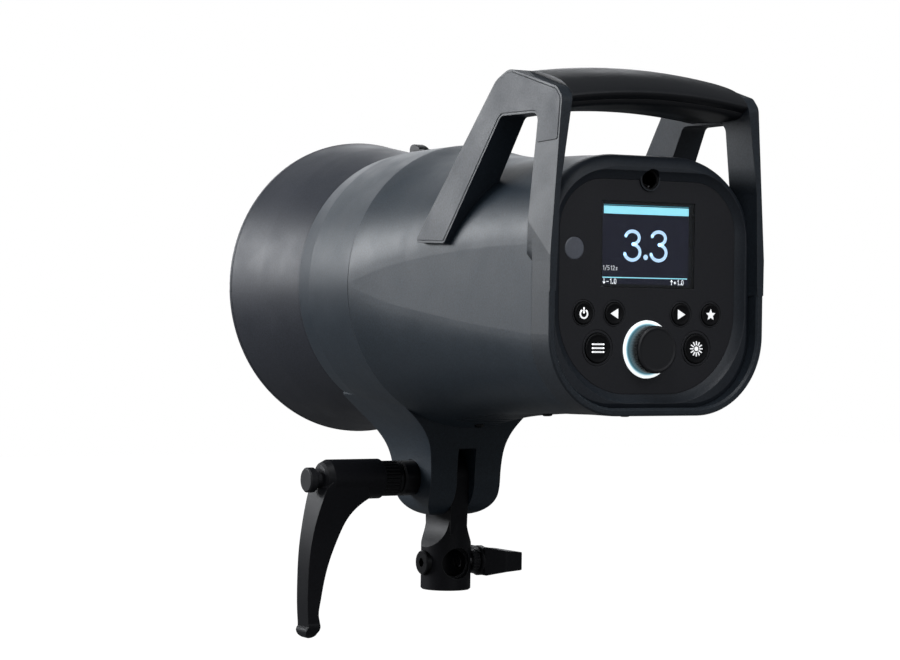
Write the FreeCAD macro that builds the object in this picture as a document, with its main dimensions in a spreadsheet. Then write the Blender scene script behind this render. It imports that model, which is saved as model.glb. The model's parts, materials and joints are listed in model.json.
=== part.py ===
import FreeCAD, Part
import math
import os
import Sketcher
from FreeCAD import Placement, Rotation, Vector

# Monolight strobe.  Millimetres.  The origin is the centre of the stand
# socket's mouth, +Z is up, the flash fires towards -Y and the clamp lever
# is on the +X side.

os.makedirs("parts", exist_ok=True)
doc = FreeCAD.newDocument("Monolight")

DRIVING_SIZES = [
    # shared positions
    ("axis_height", 178.4), ("tilt_height", 66.0), ("clearance", 0.3),
    ("running_gap", 0.05),
    # reflector
    ("rim_front", -113.0), ("rim_radius", 90.2), ("rim_bead", 3.4), ("rim_step", 0.15),
    ("reflector_wall", 1.4), ("flare_middle", -79.0), ("flare_middle_radius", 85.3),
    ("flare_back", -43.0), ("flare_back_radius", 79.0), ("reflector_back", -39.4),
    ("neck_radius", 65.4), ("neck_back", -27.6), ("lug_radius", 68.6),
    ("lug_length", 1.5), ("lug_count", 3),
    # collar and bayonet
    ("collar_front", -38.8), ("collar_back", 26.6), ("collar_front_radius", 80.0),
    ("collar_crease_radius", 81.5), ("collar_back_radius", 82.3), ("collar_crease", -22.7),
    ("collar_bore", 75.6), ("bayonet_front", -38.8), ("bayonet_back", -29.4),
    ("bayonet_bore", 66.0), ("latch_radius", 72.0), ("latch_pin_radius", 1.6),
    ("latch_post_front", -29.0), ("latch_post_length", 2.6), ("latch_travel", 3.6),
    ("latch_half_width", 3.3),
    # bracket
    ("cheek_half_width", 23.4), ("cheek_radius", 22.1), ("slot_half_width", 6.0),
    ("slot_roof", 84.0), ("stud_radius", 5.0), ("stud_end", -20.0),
    # main housing
    ("housing_front", 26.9), ("housing_back", 199.5), ("housing_wall", 2.6),
    ("rear_half_width", 67.3), ("rear_top", 68.3), ("rear_bottom", -67.8),
    ("rear_corner", 48.0), ("rear_low_corner", 42.0), ("vent_width", 3.0),
    ("vent_pitch", 8.0),
    ("vent_half_length", 21.0),
    # rear frame and handle
    ("rim_back", 216.8), ("rim_inner", 63.2), ("handle_rear", 216.8), ("leg_bend", 228.0),
    ("inlay_margin", 1.3), ("inlay_depth", 0.6), ("inlay_proud", 0.25),
    ("grip_sag", 3.9), ("grip_half_length", 55.2),
    # control panel
    ("panel_back", 204.0), ("panel_face", 206.5), ("panel_half_width", 55.2),
    ("panel_top", 55.0), ("panel_bottom", -56.6), ("panel_top_corner", 27.0),
    ("panel_bottom_corner", 42.0), ("panel_gap", 0.15),
    ("window_half_width", 29.5), ("window_top", 43.8), ("window_bottom", -1.3),
    ("small_button", 5.75), ("large_button", 7.75), ("button_gap", 0.3),
    ("button_face", 207.3), ("button_row", -14.8),
    ("large_row", -32.8), ("inner_column", 21.0), ("outer_column", 40.1),
    ("large_column", 31.1), ("groove_depth", 0.4), ("groove_width", 0.5),
    ("knob_height", -33.3), ("knob_radius", 12.5), ("knob_face", 216.2),
    ("knob_back", 207.9), ("light_ring_radius", 15.1), ("light_ring_face", 207.0),
    ("encoder_shaft", 3.0), ("photocell_x", 46.1), ("photocell_z", 18.6),
    ("photocell_radius", 5.85),
    # umbrella tube
    ("umbrella_height", 55.5), ("umbrella_bore", 4.25), ("umbrella_outer", 5.4),
    ("umbrella_front", -24.5), ("umbrella_back", 206.9),
    # front end
    ("base_plate_front", -22.0), ("base_plate_back", -19.0), ("base_plate_radius", 75.4),
    ("dome_radius", 47.0), ("dome_wall", 2.0), ("dome_length", 44.0),
    ("flash_ring_radius", 31.0), ("flash_tube_radius", 4.2),
    ("lamp_radius", 17.0), ("lamp_depth", 5.0),
    # inside the housing
    ("board_front", 193.0), ("board_thickness", 1.6), ("tray_height", -31.5),
    ("tray_thickness", 1.5), ("tray_half_width", 52.0), ("tray_back", 188.0),
    ("can_radius", 16.5), ("can_length", 88.0), ("can_front", 34.0),
    ("power_board_height", 10.0), ("fan_half_width", 30.0), ("fan_centre", 74.0),
    ("fan_top", -31.5), ("fan_depth", 15.0),
    # side sockets
    ("socket_plate_middle", 159.0), ("socket_plate_half_length", 31.0),
    ("socket_plate_half_height", 16.0), ("socket_plate_outer", -69.6),
    ("socket_plate_inner", -64.6), ("pivot_radius", 0.9),
    # stand adapter
    ("adapter_radius", 14.75), ("adapter_height", 47.0), ("tongue_half_width", 5.65),
    ("eye_radius", 16.0), ("scoop_radius", 24.0), ("scoop_height", 44.0), ("stand_bore", 8.1),
    ("stand_relief", 8.6), ("relief_low", 7.0), ("relief_high", 25.0),
    ("stand_depth", 30.0), ("cross_bore", 8.1), ("cross_height", 16.0),
    ("cross_mouth", 9.2), ("mouth_floor", 9.6), ("plug_radius", 7.1), ("plug_proud", 2.0),
    # clamp screw
    ("screw_radius", 4.0), ("screw_tip", -8.6), ("handle_start", -15.6),
    ("fluted_radius", 6.6), ("screw_hub_radius", 8.9), ("wing_half_length", 15.0),
    # clamp lever
    ("hub_radius", 11.6), ("hub_start", 46.1), ("hub_end", 85.0),
    ("sleeve_radius", 10.3), ("spacer_end", 33.1), ("sleeve_end", 45.8),
    ("lever_button_radius", 7.2), ("lever_button_neck", 4.6),
]


class Size:
    """A length that carries its spreadsheet expression beside its number."""

    def __init__(self, text, number):
        self.text = text
        self.number = number

    def joined(self, sign, other, number):
        return Size("(%s %s %s)" % (self.text, sign, text_of(other)), number)

    def __add__(self, other):
        return self.joined("+", other, self.number + number_of(other))

    def __sub__(self, other):
        return self.joined("-", other, self.number - number_of(other))

    def __mul__(self, other):
        return self.joined("*", other, self.number * number_of(other))

    def __truediv__(self, other):
        return self.joined("/", other, self.number / number_of(other))

    def __neg__(self):
        return Size("(0 - %s)" % self.text, -self.number)

    def __float__(self):
        return float(self.number)


def number_of(value):
    return float(value)


def text_of(value):
    if isinstance(value, Size):
        return value.text
    if value < 0:
        return "(0 - %r)" % (-float(value))
    return "%r" % float(value)


class SizeTable:
    """Every driving size, by name."""


size = SizeTable()
sheet = doc.addObject("Spreadsheet::Sheet", "Sizes")
for row, (size_name, size_number) in enumerate(DRIVING_SIZES, start=1):
    sheet.set("A%d" % row, size_name)
    sheet.set("B%d" % row, "%r" % size_number)
    sheet.setAlias("B%d" % row, size_name)
    setattr(size, size_name, Size("Sizes.%s" % size_name, size_number))
doc.recompute()

nodes = []


# ---------------------------------------------------------------- helpers

def bind(target, name, value):
    """Set a property and tie it to the spreadsheet when it has a Size."""
    setattr(target, name, number_of(value))
    if isinstance(value, Size):
        target.setExpression(name, value.text)


def place(target, x=0.0, y=0.0, z=0.0, rotation=None):
    """Give a node its placement, tied to the spreadsheet where it can be."""
    base = Vector(float(x), float(y), float(z))
    target.Placement = Placement(base, rotation or Rotation())
    for letter, value in (("x", x), ("y", y), ("z", z)):
        if isinstance(value, Size):
            target.setExpression("Placement.Base.%s" % letter, value.text)


def keep(target, label):
    """Name an object as one sub-part of the strobe."""
    target.Label = label
    nodes.append((label, target))
    return target


def new_body(label):
    return keep(doc.addObject("PartDesign::Body", label), label)


def origin_part(body, role):
    for part in body.Origin.OriginFeatures:
        if part.Role == role:
            return part
    raise ValueError(role)


def new_sketch(body, role, name, offset=0.0):
    """A sketch on one of the body's own planes, moved along its normal."""
    sketch = body.newObject("Sketcher::SketchObject", name)
    sketch.AttachmentSupport = [(origin_part(body, role), "")]
    sketch.MapMode = "FlatFace"
    sketch.AttachmentOffset = Placement(Vector(0, 0, float(offset)), Rotation())
    if isinstance(offset, Size):
        sketch.setExpression("AttachmentOffset.Base.z", offset.text)
    return sketch


def limit(sketch, kind, geometry, point, value):
    """One distance from the sketch's origin to a point, in X or in Y."""
    constraint = Sketcher.Constraint(kind, -1, 1, geometry, point, float(value))
    index = sketch.addConstraint(constraint)
    if isinstance(value, Size):
        sketch.setExpression("Constraints[%d]" % index, value.text)


def add_polygon(sketch, points):
    """A closed outline whose every corner is fixed by two distances."""
    first = sketch.GeometryCount
    count = len(points)
    for index in range(count):
        start = Vector(float(points[index][0]), float(points[index][1]), 0)
        after = points[(index + 1) % count]
        end = Vector(float(after[0]), float(after[1]), 0)
        sketch.addGeometry(Part.LineSegment(start, end))
    for index in range(count):
        following = first + (index + 1) % count
        sketch.addConstraint(Sketcher.Constraint("Coincident", first + index, 2, following, 1))
    for index, (across, along) in enumerate(points):
        limit(sketch, "DistanceX", first + index, 1, across)
        limit(sketch, "DistanceY", first + index, 1, along)


def add_circle(sketch, across, along, radius):
    centre = Vector(float(across), float(along), 0)
    circle = Part.Circle(centre, Vector(0, 0, 1), float(radius))
    geometry = sketch.addGeometry(circle)
    index = sketch.addConstraint(Sketcher.Constraint("Radius", geometry, float(radius)))
    if isinstance(radius, Size):
        sketch.setExpression("Constraints[%d]" % index, radius.text)
    limit(sketch, "DistanceX", geometry, 3, across)
    limit(sketch, "DistanceY", geometry, 3, along)


def rectangle_points(low_x, low_y, high_x, high_y):
    return [(low_x, low_y), (high_x, low_y), (high_x, high_y), (low_x, high_y)]


def sector_points(inner, outer, middle_angle, half_angle):
    """Corners of a short block between two radii, round a given angle."""
    points = []
    for radius, turns in ((inner, (-1, 1)), (outer, (1, 0, -1))):
        for turn in turns:
            angle = math.radians(middle_angle + turn * half_angle)
            points.append((radius * math.cos(angle), radius * math.sin(angle)))
    return points


def pad(body, sketch, length, name="Pad"):
    doc.recompute()
    feature = body.newObject("PartDesign::Pad", name)
    feature.Profile = sketch
    bind(feature, "Length", length)
    doc.recompute()
    return feature


def pocket(body, sketch, length, name="Pocket"):
    """Cut against the sketch's normal."""
    doc.recompute()
    before = body.Shape.Volume
    feature = body.newObject("PartDesign::Pocket", name)
    feature.Profile = sketch
    bind(feature, "Length", length)
    doc.recompute()
    if feature.Shape.Volume >= before - 1e-6:
        raise ValueError("%s in %s removes nothing" % (name, body.Label))
    return feature


def turn(body, sketch, axis="H_Axis", kind="PartDesign::Revolution", name="Turned"):
    doc.recompute()
    feature = body.newObject(kind, name)
    feature.Profile = sketch
    feature.ReferenceAxis = (sketch, [axis])
    feature.Angle = 360.0
    doc.recompute()
    return feature


def polar_pattern(body, feature, axis_role, count, name="Pattern"):
    pattern = body.newObject("PartDesign::PolarPattern", name)
    pattern.Originals = [feature]
    pattern.Axis = (origin_part(body, axis_role), [""])
    pattern.Angle = 360.0
    pattern.Occurrences = int(float(count))
    body.Tip = pattern
    doc.recompute()
    return pattern


def linear_pattern(body, feature, axis_role, length, count, name="Row"):
    pattern = body.newObject("PartDesign::LinearPattern", name)
    pattern.Originals = [feature]
    pattern.Direction = (origin_part(body, axis_role), [""])
    bind(pattern, "Length", length)
    pattern.Occurrences = int(float(count))
    body.Tip = pattern
    doc.recompute()
    return pattern


def soften(body, feature, amount, wanted, kind="PartDesign::Fillet", name="Soft"):
    """Round or bevel the edges of a feature that the test picks out."""
    doc.recompute()
    names = []
    for index, edge in enumerate(feature.Shape.Edges, start=1):
        if wanted(edge):
            names.append("Edge%d" % index)
    if not names:
        raise ValueError("no edges to soften in %s" % body.Label)
    result = body.newObject(kind, name)
    result.Base = (feature, names)
    bind(result, "Radius" if kind.endswith("Fillet") else "Size", amount)
    doc.recompute()
    return result


def round_edge_at(letter, value, radius=None):
    """A test for circular edges that lie on one plane across an axis."""
    place_in_vector = {"x": 0, "y": 1, "z": 2}[letter]

    def wanted(edge):
        if not isinstance(edge.Curve, Part.Circle):
            return False
        if abs(edge.Curve.Center[place_in_vector] - float(value)) > 1e-3:
            return False
        return radius is None or abs(edge.Curve.Radius - float(radius)) < 1e-3

    return wanted


def turned_body(label, points, axis_height, x=0.0, axis="H_Axis", role="YZ_Plane", y=0.0):
    """A body turned about its own Y (or X) axis and then lifted into place."""
    body = new_body(label)
    sketch = new_sketch(body, role, "Profile")
    add_polygon(sketch, points)
    turn(body, sketch, axis)
    place(body, x, y, axis_height)
    return body


def shape_node(label, shape, x=0.0, y=0.0, z=0.0):
    """A sub-part whose shape is made in code from the spreadsheet's sizes."""
    node = doc.addObject("Part::Feature", label)
    node.Shape = shape
    place(node, x, y, z)
    return keep(node, label)


def rounded_outline(corners, to_point):
    """A closed wire through corners (across, along, radius), arcs at each."""
    edges = []
    arcs = []
    count = len(corners)
    for index, (across, along, radius) in enumerate(corners):
        here = Vector(float(across), float(along), 0)
        before = corners[index - 1]
        after = corners[(index + 1) % count]
        inward = (Vector(float(before[0]), float(before[1]), 0) - here).normalize()
        outward = (Vector(float(after[0]), float(after[1]), 0) - here).normalize()
        half = inward.getAngle(outward) / 2.0
        reach = float(radius) / math.tan(half)
        start = here + inward * reach
        end = here + outward * reach
        bisector = (inward + outward).normalize()
        centre_distance = float(radius) / math.sin(half)
        middle = here + bisector * (centre_distance - float(radius))
        arcs.append((start, middle, end))
    for index, (start, middle, end) in enumerate(arcs):
        if (end - start).Length > 1e-6:
            arc = Part.Arc(to_point(start), to_point(middle), to_point(end))
            edges.append(arc.toShape())
        following = arcs[(index + 1) % count][0]
        if (following - end).Length > 1e-6:
            edges.append(Part.LineSegment(to_point(end), to_point(following)).toShape())
    return Part.Wire(edges)


def across_y(station):
    """Map flat (x, z) points onto the plane Y = station."""
    return lambda point: Vector(point.x, float(station), point.y)


def across_x(station):
    """Map flat (y, z) points onto the plane X = station."""
    return lambda point: Vector(float(station), point.x, point.y)


def squircle(station, half_width, top, bottom, corner, low_corner):
    """The housing's cross-section at one station along the body."""
    corners = [
        (-half_width, bottom, low_corner), (half_width, bottom, low_corner),
        (half_width, top, corner), (-half_width, top, corner),
    ]
    return rounded_outline(corners, across_y(station))


def loft(wires, ruled=False):
    return Part.makeLoft(wires, True, ruled)


def prism(wire, direction):
    return Part.Face(wire).extrude(direction)


def box(low, high):
    spans = [high[k] - low[k] for k in range(3)]
    return Part.makeBox(spans[0], spans[1], spans[2], Vector(*low))


def cylinder(radius, start, direction, length):
    return Part.makeCylinder(float(radius), float(length), Vector(*start), Vector(*direction))


def both_sides(shape):
    """The shape and its mirror image across the middle plane."""
    return shape, shape.mirror(Vector(0, 0, 0), Vector(1, 0, 0))


X_AXIS = (1, 0, 0)
Y_AXIS = (0, 1, 0)
Z_AXIS = (0, 0, 1)
lift = float(size.axis_height)

# ------------------------------------------------- reflector and its mount

front = size.rim_front
wall = size.reflector_wall
reflector = new_body("reflector")
profile = new_sketch(reflector, "YZ_Plane", "Profile")
add_polygon(profile, [
    (front, size.rim_radius - 2.6),
    (front, size.rim_radius),
    (front + size.rim_bead, size.rim_radius),
    (front + size.rim_bead, size.rim_radius - size.rim_step),
    (size.flare_middle, size.flare_middle_radius),
    (size.flare_back, size.flare_back_radius),
    (size.reflector_back, size.flare_back_radius - 0.9),
    (size.reflector_back, size.neck_radius),
    (size.neck_back, size.neck_radius),
    (size.neck_back, size.neck_radius - wall),
    (size.reflector_back - wall, size.neck_radius - wall),
    (size.reflector_back - wall, size.flare_back_radius - wall - 0.9),
    (size.flare_back - wall, size.flare_back_radius - wall),
    (size.flare_middle, size.flare_middle_radius - wall),
    (front + size.rim_bead - 0.9, size.rim_radius - 2.1),
])
dish = turn(reflector, profile)
lug_sketch = new_sketch(reflector, "XZ_Plane", "Lug", -size.neck_back)
add_polygon(lug_sketch, sector_points(65.3, float(size.lug_radius), 90, 9))
lug = pad(reflector, lug_sketch, size.lug_length, "LugPad")
lugs = polar_pattern(reflector, lug, "Y_Axis", size.lug_count)
soften(reflector, lugs, 1.0, round_edge_at("y", size.rim_front, size.rim_radius))
place(reflector, 0, 0, size.axis_height)

bayonet_ring = new_body("bayonet_ring")
sketch = new_sketch(bayonet_ring, "XZ_Plane", "Ring", -size.bayonet_back)
add_circle(sketch, 0, 0, size.collar_bore)
add_circle(sketch, 0, 0, size.bayonet_bore)
pad(bayonet_ring, sketch, size.bayonet_back - size.bayonet_front)
sketch = new_sketch(bayonet_ring, "XZ_Plane", "Notch", -size.bayonet_front)
add_polygon(sketch, sector_points(64.0, float(size.lug_radius) + 0.6, 120, 11))
notch = pocket(bayonet_ring, sketch, 9.7, "NotchCut")
polar_pattern(bayonet_ring, notch, "Y_Axis", size.lug_count)
sketch = new_sketch(bayonet_ring, "XZ_Plane", "PinHole", -size.bayonet_front)
add_circle(sketch, 0, size.latch_radius, size.latch_pin_radius + size.running_gap)
pocket(bayonet_ring, sketch, 9.7, "PinCut")
place(bayonet_ring, 0, 0, size.axis_height)

# Latch: a thumb piece on the collar, a post through the collar's slot and
# a pin that runs in the bayonet ring.
latch = new_body("reflector_latch")
sketch = new_sketch(latch, "YZ_Plane", "Thumb", -size.latch_half_width)
add_polygon(sketch, [
    (-44.4, 80.8), (-44.4, 84.2), (-43.7, 85.3), (-42.0, 86.0), (-39.6, 86.1),
    (-36.8, 85.4), (-34.4, 84.5), (-33.0, 83.8), (-33.0, 82.7), (-26.4, 82.7),
    (-26.4, 81.9), (-39.8, 81.9), (-40.2, 80.8),
])
thumb = pad(latch, sketch, size.latch_half_width * 2.0, "ThumbPad")
thumb_side = float(size.latch_half_width)
soften(latch, thumb, 0.5, lambda edge: abs(abs(edge.CenterOfMass.x) - thumb_side) < 1e-3
       and edge.CenterOfMass.z > 83.4)
sketch = new_sketch(latch, "XY_Plane", "Post", 70.2)
add_polygon(sketch, rectangle_points(
    -2.8, size.latch_post_front, 2.8, size.latch_post_front + size.latch_post_length))
pad(latch, sketch, 12.1, "PostPad")
place(latch, 0, 0, size.axis_height)

latch_pin = new_body("latch_pin")
sketch = new_sketch(latch_pin, "XZ_Plane", "Round", -size.latch_post_front)
add_circle(sketch, 0, size.latch_radius, size.latch_pin_radius)
pad(latch_pin, sketch, size.latch_post_front - size.reflector_back - size.clearance)
place(latch_pin, 0, 0, size.axis_height)

# ------------------------------------------------ collar and tilt bracket

def collar_shape():
    """The ring at the front of the body, cast in one with the bracket."""
    start, end = float(size.collar_front), float(size.collar_back)
    ring_profile = [
        (start, 0.0), (start, float(size.collar_front_radius)),
        (float(size.collar_crease), float(size.collar_crease_radius)),
        (end, float(size.collar_back_radius)), (end, 0.0),
    ]
    points = [Vector(0, across, along) for across, along in ring_profile]
    face = Part.Face(Part.makePolygon(points + points[:1]))
    ring = face.revolve(Vector(0, 0, 0), Vector(0, 1, 0), 360)
    ring.translate(Vector(0, 0, lift))

    cheek = float(size.cheek_half_width)
    round_part = float(size.cheek_radius)
    tilt = float(size.tilt_height)
    base = tilt - round_part
    side = [(49.5, 114.0), (40.0, 105.2), (33.0, 98.3), (28.2, 91.8), (25.2, 84.5),
            (cheek + 0.5, 75.5), (cheek, tilt), (cheek - 0.1, 57.5)]
    right = Part.BSplineCurve()
    right.interpolate([Vector(x, 0, z) for x, z in side])
    left = Part.BSplineCurve()
    left.interpolate([Vector(-x, 0, z) for x, z in side])
    low_right = Part.Arc(Vector(cheek - 0.1, 0, 57.5), Vector(cheek - 3.6, 0, 48.2),
                         Vector(cheek - 12.0, 0, base))
    low_left = Part.Arc(Vector(0.1 - cheek, 0, 57.5), Vector(3.6 - cheek, 0, 48.2),
                        Vector(12.0 - cheek, 0, base))
    floor = Part.LineSegment(Vector(cheek - 12.0, 0, base), Vector(12.0 - cheek, 0, base))
    top = [Vector(49.5, 0, 114.0), Vector(49.5, 0, 130.0), Vector(-49.5, 0, 130.0),
           Vector(-49.5, 0, 114.0)]
    edges = [curve.toShape() for curve in (right, low_right, floor, low_left, left)]
    edges += Part.makePolygon(top).Edges
    front_view = Part.Wire(Part.__sortEdges__(edges))
    front_view.translate(Vector(0, start - 5.0, 0))
    slab = prism(front_view, Vector(0, end - start + 10.0, 0))

    round_bottom = Part.Arc(Vector(0, -round_part, tilt), Vector(0, 0, base),
                            Vector(0, round_part, tilt))
    fore = Part.BSplineCurve()
    fore.interpolate([Vector(0, y, z) for y, z in (
        (-round_part, tilt), (-24.4, 75.0), (-28.7, 84.0), (-34.2, 92.4),
        (-37.5, 98.5), (start, 106.0))])
    aft = Part.BSplineCurve()
    aft.interpolate([Vector(0, y, z) for y, z in (
        (round_part, tilt), (22.7, 76.0), (24.4, 88.0), (end, 102.0))])
    roof = Part.makePolygon([Vector(0, end, 102.0), Vector(0, end, 130.0),
                             Vector(0, start, 130.0), Vector(0, start, 106.0)])
    side_edges = [curve.toShape() for curve in (round_bottom, fore, aft)] + roof.Edges
    side_view = Part.Wire(Part.__sortEdges__(side_edges))
    side_view.translate(Vector(-60, 0, 0))
    bracket = slab.common(prism(side_view, Vector(120, 0, 0)))

    shape = ring.fuse(bracket)
    bore = cylinder(size.collar_bore, (0, start - 1, lift), Y_AXIS, end - start + 2)
    slot_half = float(size.slot_half_width)
    slot = box((-slot_half, -60, 30), (slot_half, 60, float(size.slot_roof)))
    stud_hole = cylinder(size.stud_radius + size.running_gap,
                         (float(size.stud_end) - 0.6, 0, tilt), X_AXIS, 60)
    slot_front = float(size.latch_post_front) - 0.4
    slot_back = float(size.latch_post_front + size.latch_post_length + size.latch_travel) + 0.4
    latch_slot = box((-3.1, slot_front, lift + 70), (3.1, slot_back, lift + 90))
    spot_face = cylinder(size.sleeve_radius + 0.5, (cheek + 0.05, 0, tilt), X_AXIS, 10.0)
    shape = shape.cut(bore).cut(slot).cut(stud_hole).cut(latch_slot).cut(spot_face)
    return shape.removeSplitter()


shape_node("front_collar", collar_shape())

# --------------------------------------------------------- main housing

HOUSING_STATIONS = [
    # distance behind the collar's back, half width, top, bottom, upper and lower corner
    (0.0, 82.2, 82.2, -82.2, 81.3, 81.3),
    (14.0, 79.0, 79.0, -79.0, 74.0, 74.0),
    (28.6, 76.2, 75.9, -76.0, 67.0, 67.0),
    (65.6, 72.2, 72.4, -71.9, 58.0, 57.0),
    (98.6, 69.7, 70.0, -69.9, 52.5, 50.6),
    (122.6, 68.4, 69.1, -68.9, 50.0, 47.0),
    (153.0, 67.6, 68.6, -68.2, 48.6, 43.8),
]


def rear_section(station, inset):
    """The rear end's outline, drawn in by an inset, on the plane Y = station."""
    return squircle(station, float(size.rear_half_width) - inset,
                    float(size.rear_top) - inset, float(size.rear_bottom) + inset,
                    float(size.rear_corner) - inset, float(size.rear_low_corner) - inset)


def housing_solid(inset):
    """The housing's outside, or its inside when an inset is given."""
    start = float(size.housing_front)
    wires = []
    for step, half, top, bottom, corner, low_corner in HOUSING_STATIONS:
        wires.append(squircle(start + step, half - inset, top - inset, bottom + inset,
                              corner - inset, low_corner - inset))
    wires.append(rear_section(float(size.housing_back), inset))
    return loft(wires)


housing_outside = housing_solid(0.0)
housing_shape = housing_outside.cut(housing_solid(float(size.housing_wall)))
VENT_ROWS = ((46.0, 7), (126.0, 7))
for row_start, row_count in VENT_ROWS:
    for step in range(row_count):
        middle = row_start + step * float(size.vent_pitch)
        half = float(size.vent_width) / 2.0
        reach = float(size.vent_half_length)
        housing_shape = housing_shape.cut(box((-reach, middle - half, -90),
                                              (reach, middle + half, -50)))
plate_middle = float(size.socket_plate_middle)
plate_reach = float(size.socket_plate_half_length)
plate_rise = float(size.socket_plate_half_height)
gap = float(size.clearance)
housing_shape = housing_shape.cut(box(
    (-80, plate_middle - plate_reach - gap, -plate_rise - gap),
    (-60, plate_middle + plate_reach + gap, plate_rise + gap)))
shape_node("main_housing", housing_shape, 0, 0, size.axis_height)

# ---------------------------------------- rear frame, handle sides, grip

def lean_out(y, z, shift=0.0):
    """Where the handle's outer face stands, in X, at a given (y, z)."""
    return 94.83 - 0.068 * y - 0.0662 * z + shift


def lean_in(y, z):
    """Where the handle's inner face stands; it leans more above the bend."""
    above_bend = z - float(size.leg_bend)
    slope = 0.14 if above_bend > 0 else 0.03
    return 61.9 + 0.11 * (y - 217.5) - slope * above_bend


def between_leaning_faces(outer_shift, inner_face, low=90.0, high=320.0):
    """A thick leaning plate on the +X side, to cut handle outlines from."""
    corners = ((60.0, low), (222.0, low), (222.0, high), (60.0, high))
    outer = [Vector(lean_out(y, z, outer_shift), y, z) for y, z in corners]
    inner = [Vector(inner_face(y, z), y, z) for y, z in corners]
    faces = [Part.Face(Part.makePolygon(outer + outer[:1])),
             Part.Face(Part.makePolygon(inner + inner[:1]))]
    for index in range(4):
        after = (index + 1) % 4
        ring = [outer[index], outer[after], inner[after], inner[index], outer[index]]
        faces.append(Part.Face(Part.makePolygon(ring)))
    return Part.Solid(Part.Shell(faces))


rear_edge = float(size.handle_rear)
HANDLE_TOP = [
    (90.8, 201.0, 2.0), (157.8, 285.6, 14.0), (169.5, 291.2, 12.0), (212.6, 279.0, 6.0),
    (rear_edge + 0.8, 273.5, 6.0),
]
HANDLE_WINDOW = [(198.0, 266.3, 4.5), (164.6, 266.3, 5.0), (119.5, 200.2, 2.0)]
LEG_FOOT = [(rear_edge, 174.0, 0.5), (193.5, 174.0, 0.5)]
INLAY_FOOT = [(rear_edge + 0.6, 250.6, 2.5), (197.2, 249.4, 2.5)]
HANDLE_OUTLINE = HANDLE_TOP + LEG_FOOT + HANDLE_WINDOW
INLAY_OUTLINE = HANDLE_TOP + INLAY_FOOT + HANDLE_WINDOW


def handle_prism(outline, margin=0.0):
    """A handle outline drawn out along X, with its edge moved inwards."""
    face = Part.Face(rounded_outline(outline, across_x(40.0)))
    if margin:
        face = face.makeOffset2D(-margin)
    return face.extrude(Vector(50, 0, 0))


housing_placed = housing_outside.copy()
housing_placed.translate(Vector(0, 0, lift))


def rim_shape():
    """The raised U round the rear panel, in the body's own frame."""
    start, end = float(size.housing_back), float(size.rim_back)
    outer = loft([
        rear_section(start, 0.0), rear_section(end - 1.0, 0.0), rear_section(end - 0.7, 0.1),
        rear_section(end - 0.3, 0.35), rear_section(end, 0.9),
    ], True)
    thickness = float(size.rear_half_width - size.rim_inner)
    inner = loft([rear_section(start - 1.0, thickness), rear_section(end + 1.0, thickness)], True)
    lip = loft([rear_section(end - 1.1, thickness), rear_section(end + 0.2, thickness - 1.2)],
               True)
    lower_part = box((-90, start - 5, -90), (90, end + 5, 1.5))
    return outer.cut(inner).cut(lip).common(lower_part)


def handle_side():
    """One side of the handle; its rear leg ends flush with the body's side."""
    bend = float(size.leg_bend)
    plate = between_leaning_faces(0.0, lean_in, high=bend)
    plate = plate.fuse(between_leaning_faces(0.0, lean_in, low=bend))
    side = handle_prism(HANDLE_OUTLINE).common(plate)
    side = side.cut(housing_placed)
    flush = float(size.rear_half_width)
    beyond_flush = [(flush, 150.0), (flush, 190.0), (flush + 0.4, 217.5), (90.0, 217.5),
                    (90.0, 150.0), (flush, 150.0)]
    trim = prism(Part.makePolygon([Vector(x, 192.0, z) for x, z in beyond_flush]),
                 Vector(0, 33, 0))
    side = side.cut(trim)
    recess_floor = between_leaning_faces(
        3.0, lambda y, z: lean_out(y, z, -float(size.inlay_depth)))
    inlay_cut = handle_prism(INLAY_OUTLINE, float(size.inlay_margin)).common(recess_floor)
    return side.cut(inlay_cut)


def rear_frame_shape():
    rim = rim_shape()
    rim.translate(Vector(0, 0, lift))
    shape = rim
    for side in both_sides(handle_side()):
        shape = shape.fuse(side)
    return shape.removeSplitter()


rear_frame = rear_frame_shape()
shape_node("rear_frame", rear_frame)

inlay_block = between_leaning_faces(
    float(size.inlay_proud), lambda y, z: lean_out(y, z, -float(size.inlay_depth)))
inlay = handle_prism(INLAY_OUTLINE, float(size.inlay_margin) + 0.12).common(inlay_block)
for label, shape in zip(("handle_inlay_left", "handle_inlay_right"), both_sides(inlay)):
    shape_node(label, shape)

GRIP_TOP = [
    (160.8, 279.5), (163.2, 287.0), (173.5, 293.4), (190.0, 291.9), (206.0, 287.0),
    (213.6, 282.4), (216.6, 278.0), (213.8, 275.9), (190.0, 275.3), (164.5, 275.4),
]
GRIP_BOTTOM = [
    (164.0, 277.5), (165.4, 273.4), (178.0, 271.4), (192.0, 270.9), (205.0, 271.9),
    (211.6, 274.2), (212.4, 277.5), (190.0, 279.0),
]


def grip_sweep(section):
    """A curved bar: one closed section, arched between the two handle sides."""
    wires = []
    reach = float(size.grip_half_length)
    for share in (-1.0, -0.7, -0.35, 0.0, 0.35, 0.7, 1.0):
        station = share * reach
        drop = float(size.grip_sag) * (station / 53.0) ** 2
        curve = Part.BSplineCurve()
        curve.interpolate([Vector(station, y, z - drop) for y, z in section],
                          PeriodicFlag=True)
        wires.append(Part.Wire([curve.toShape()]))
    return loft(wires)


grip_bar = grip_sweep(GRIP_TOP).cut(rear_frame)
grip_under = grip_sweep(GRIP_BOTTOM).cut(rear_frame).cut(grip_bar)
shape_node("grip_bar", grip_bar)
shape_node("grip_underside", grip_under)

# ------------------------------------------------ rear bezel and panel

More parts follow.
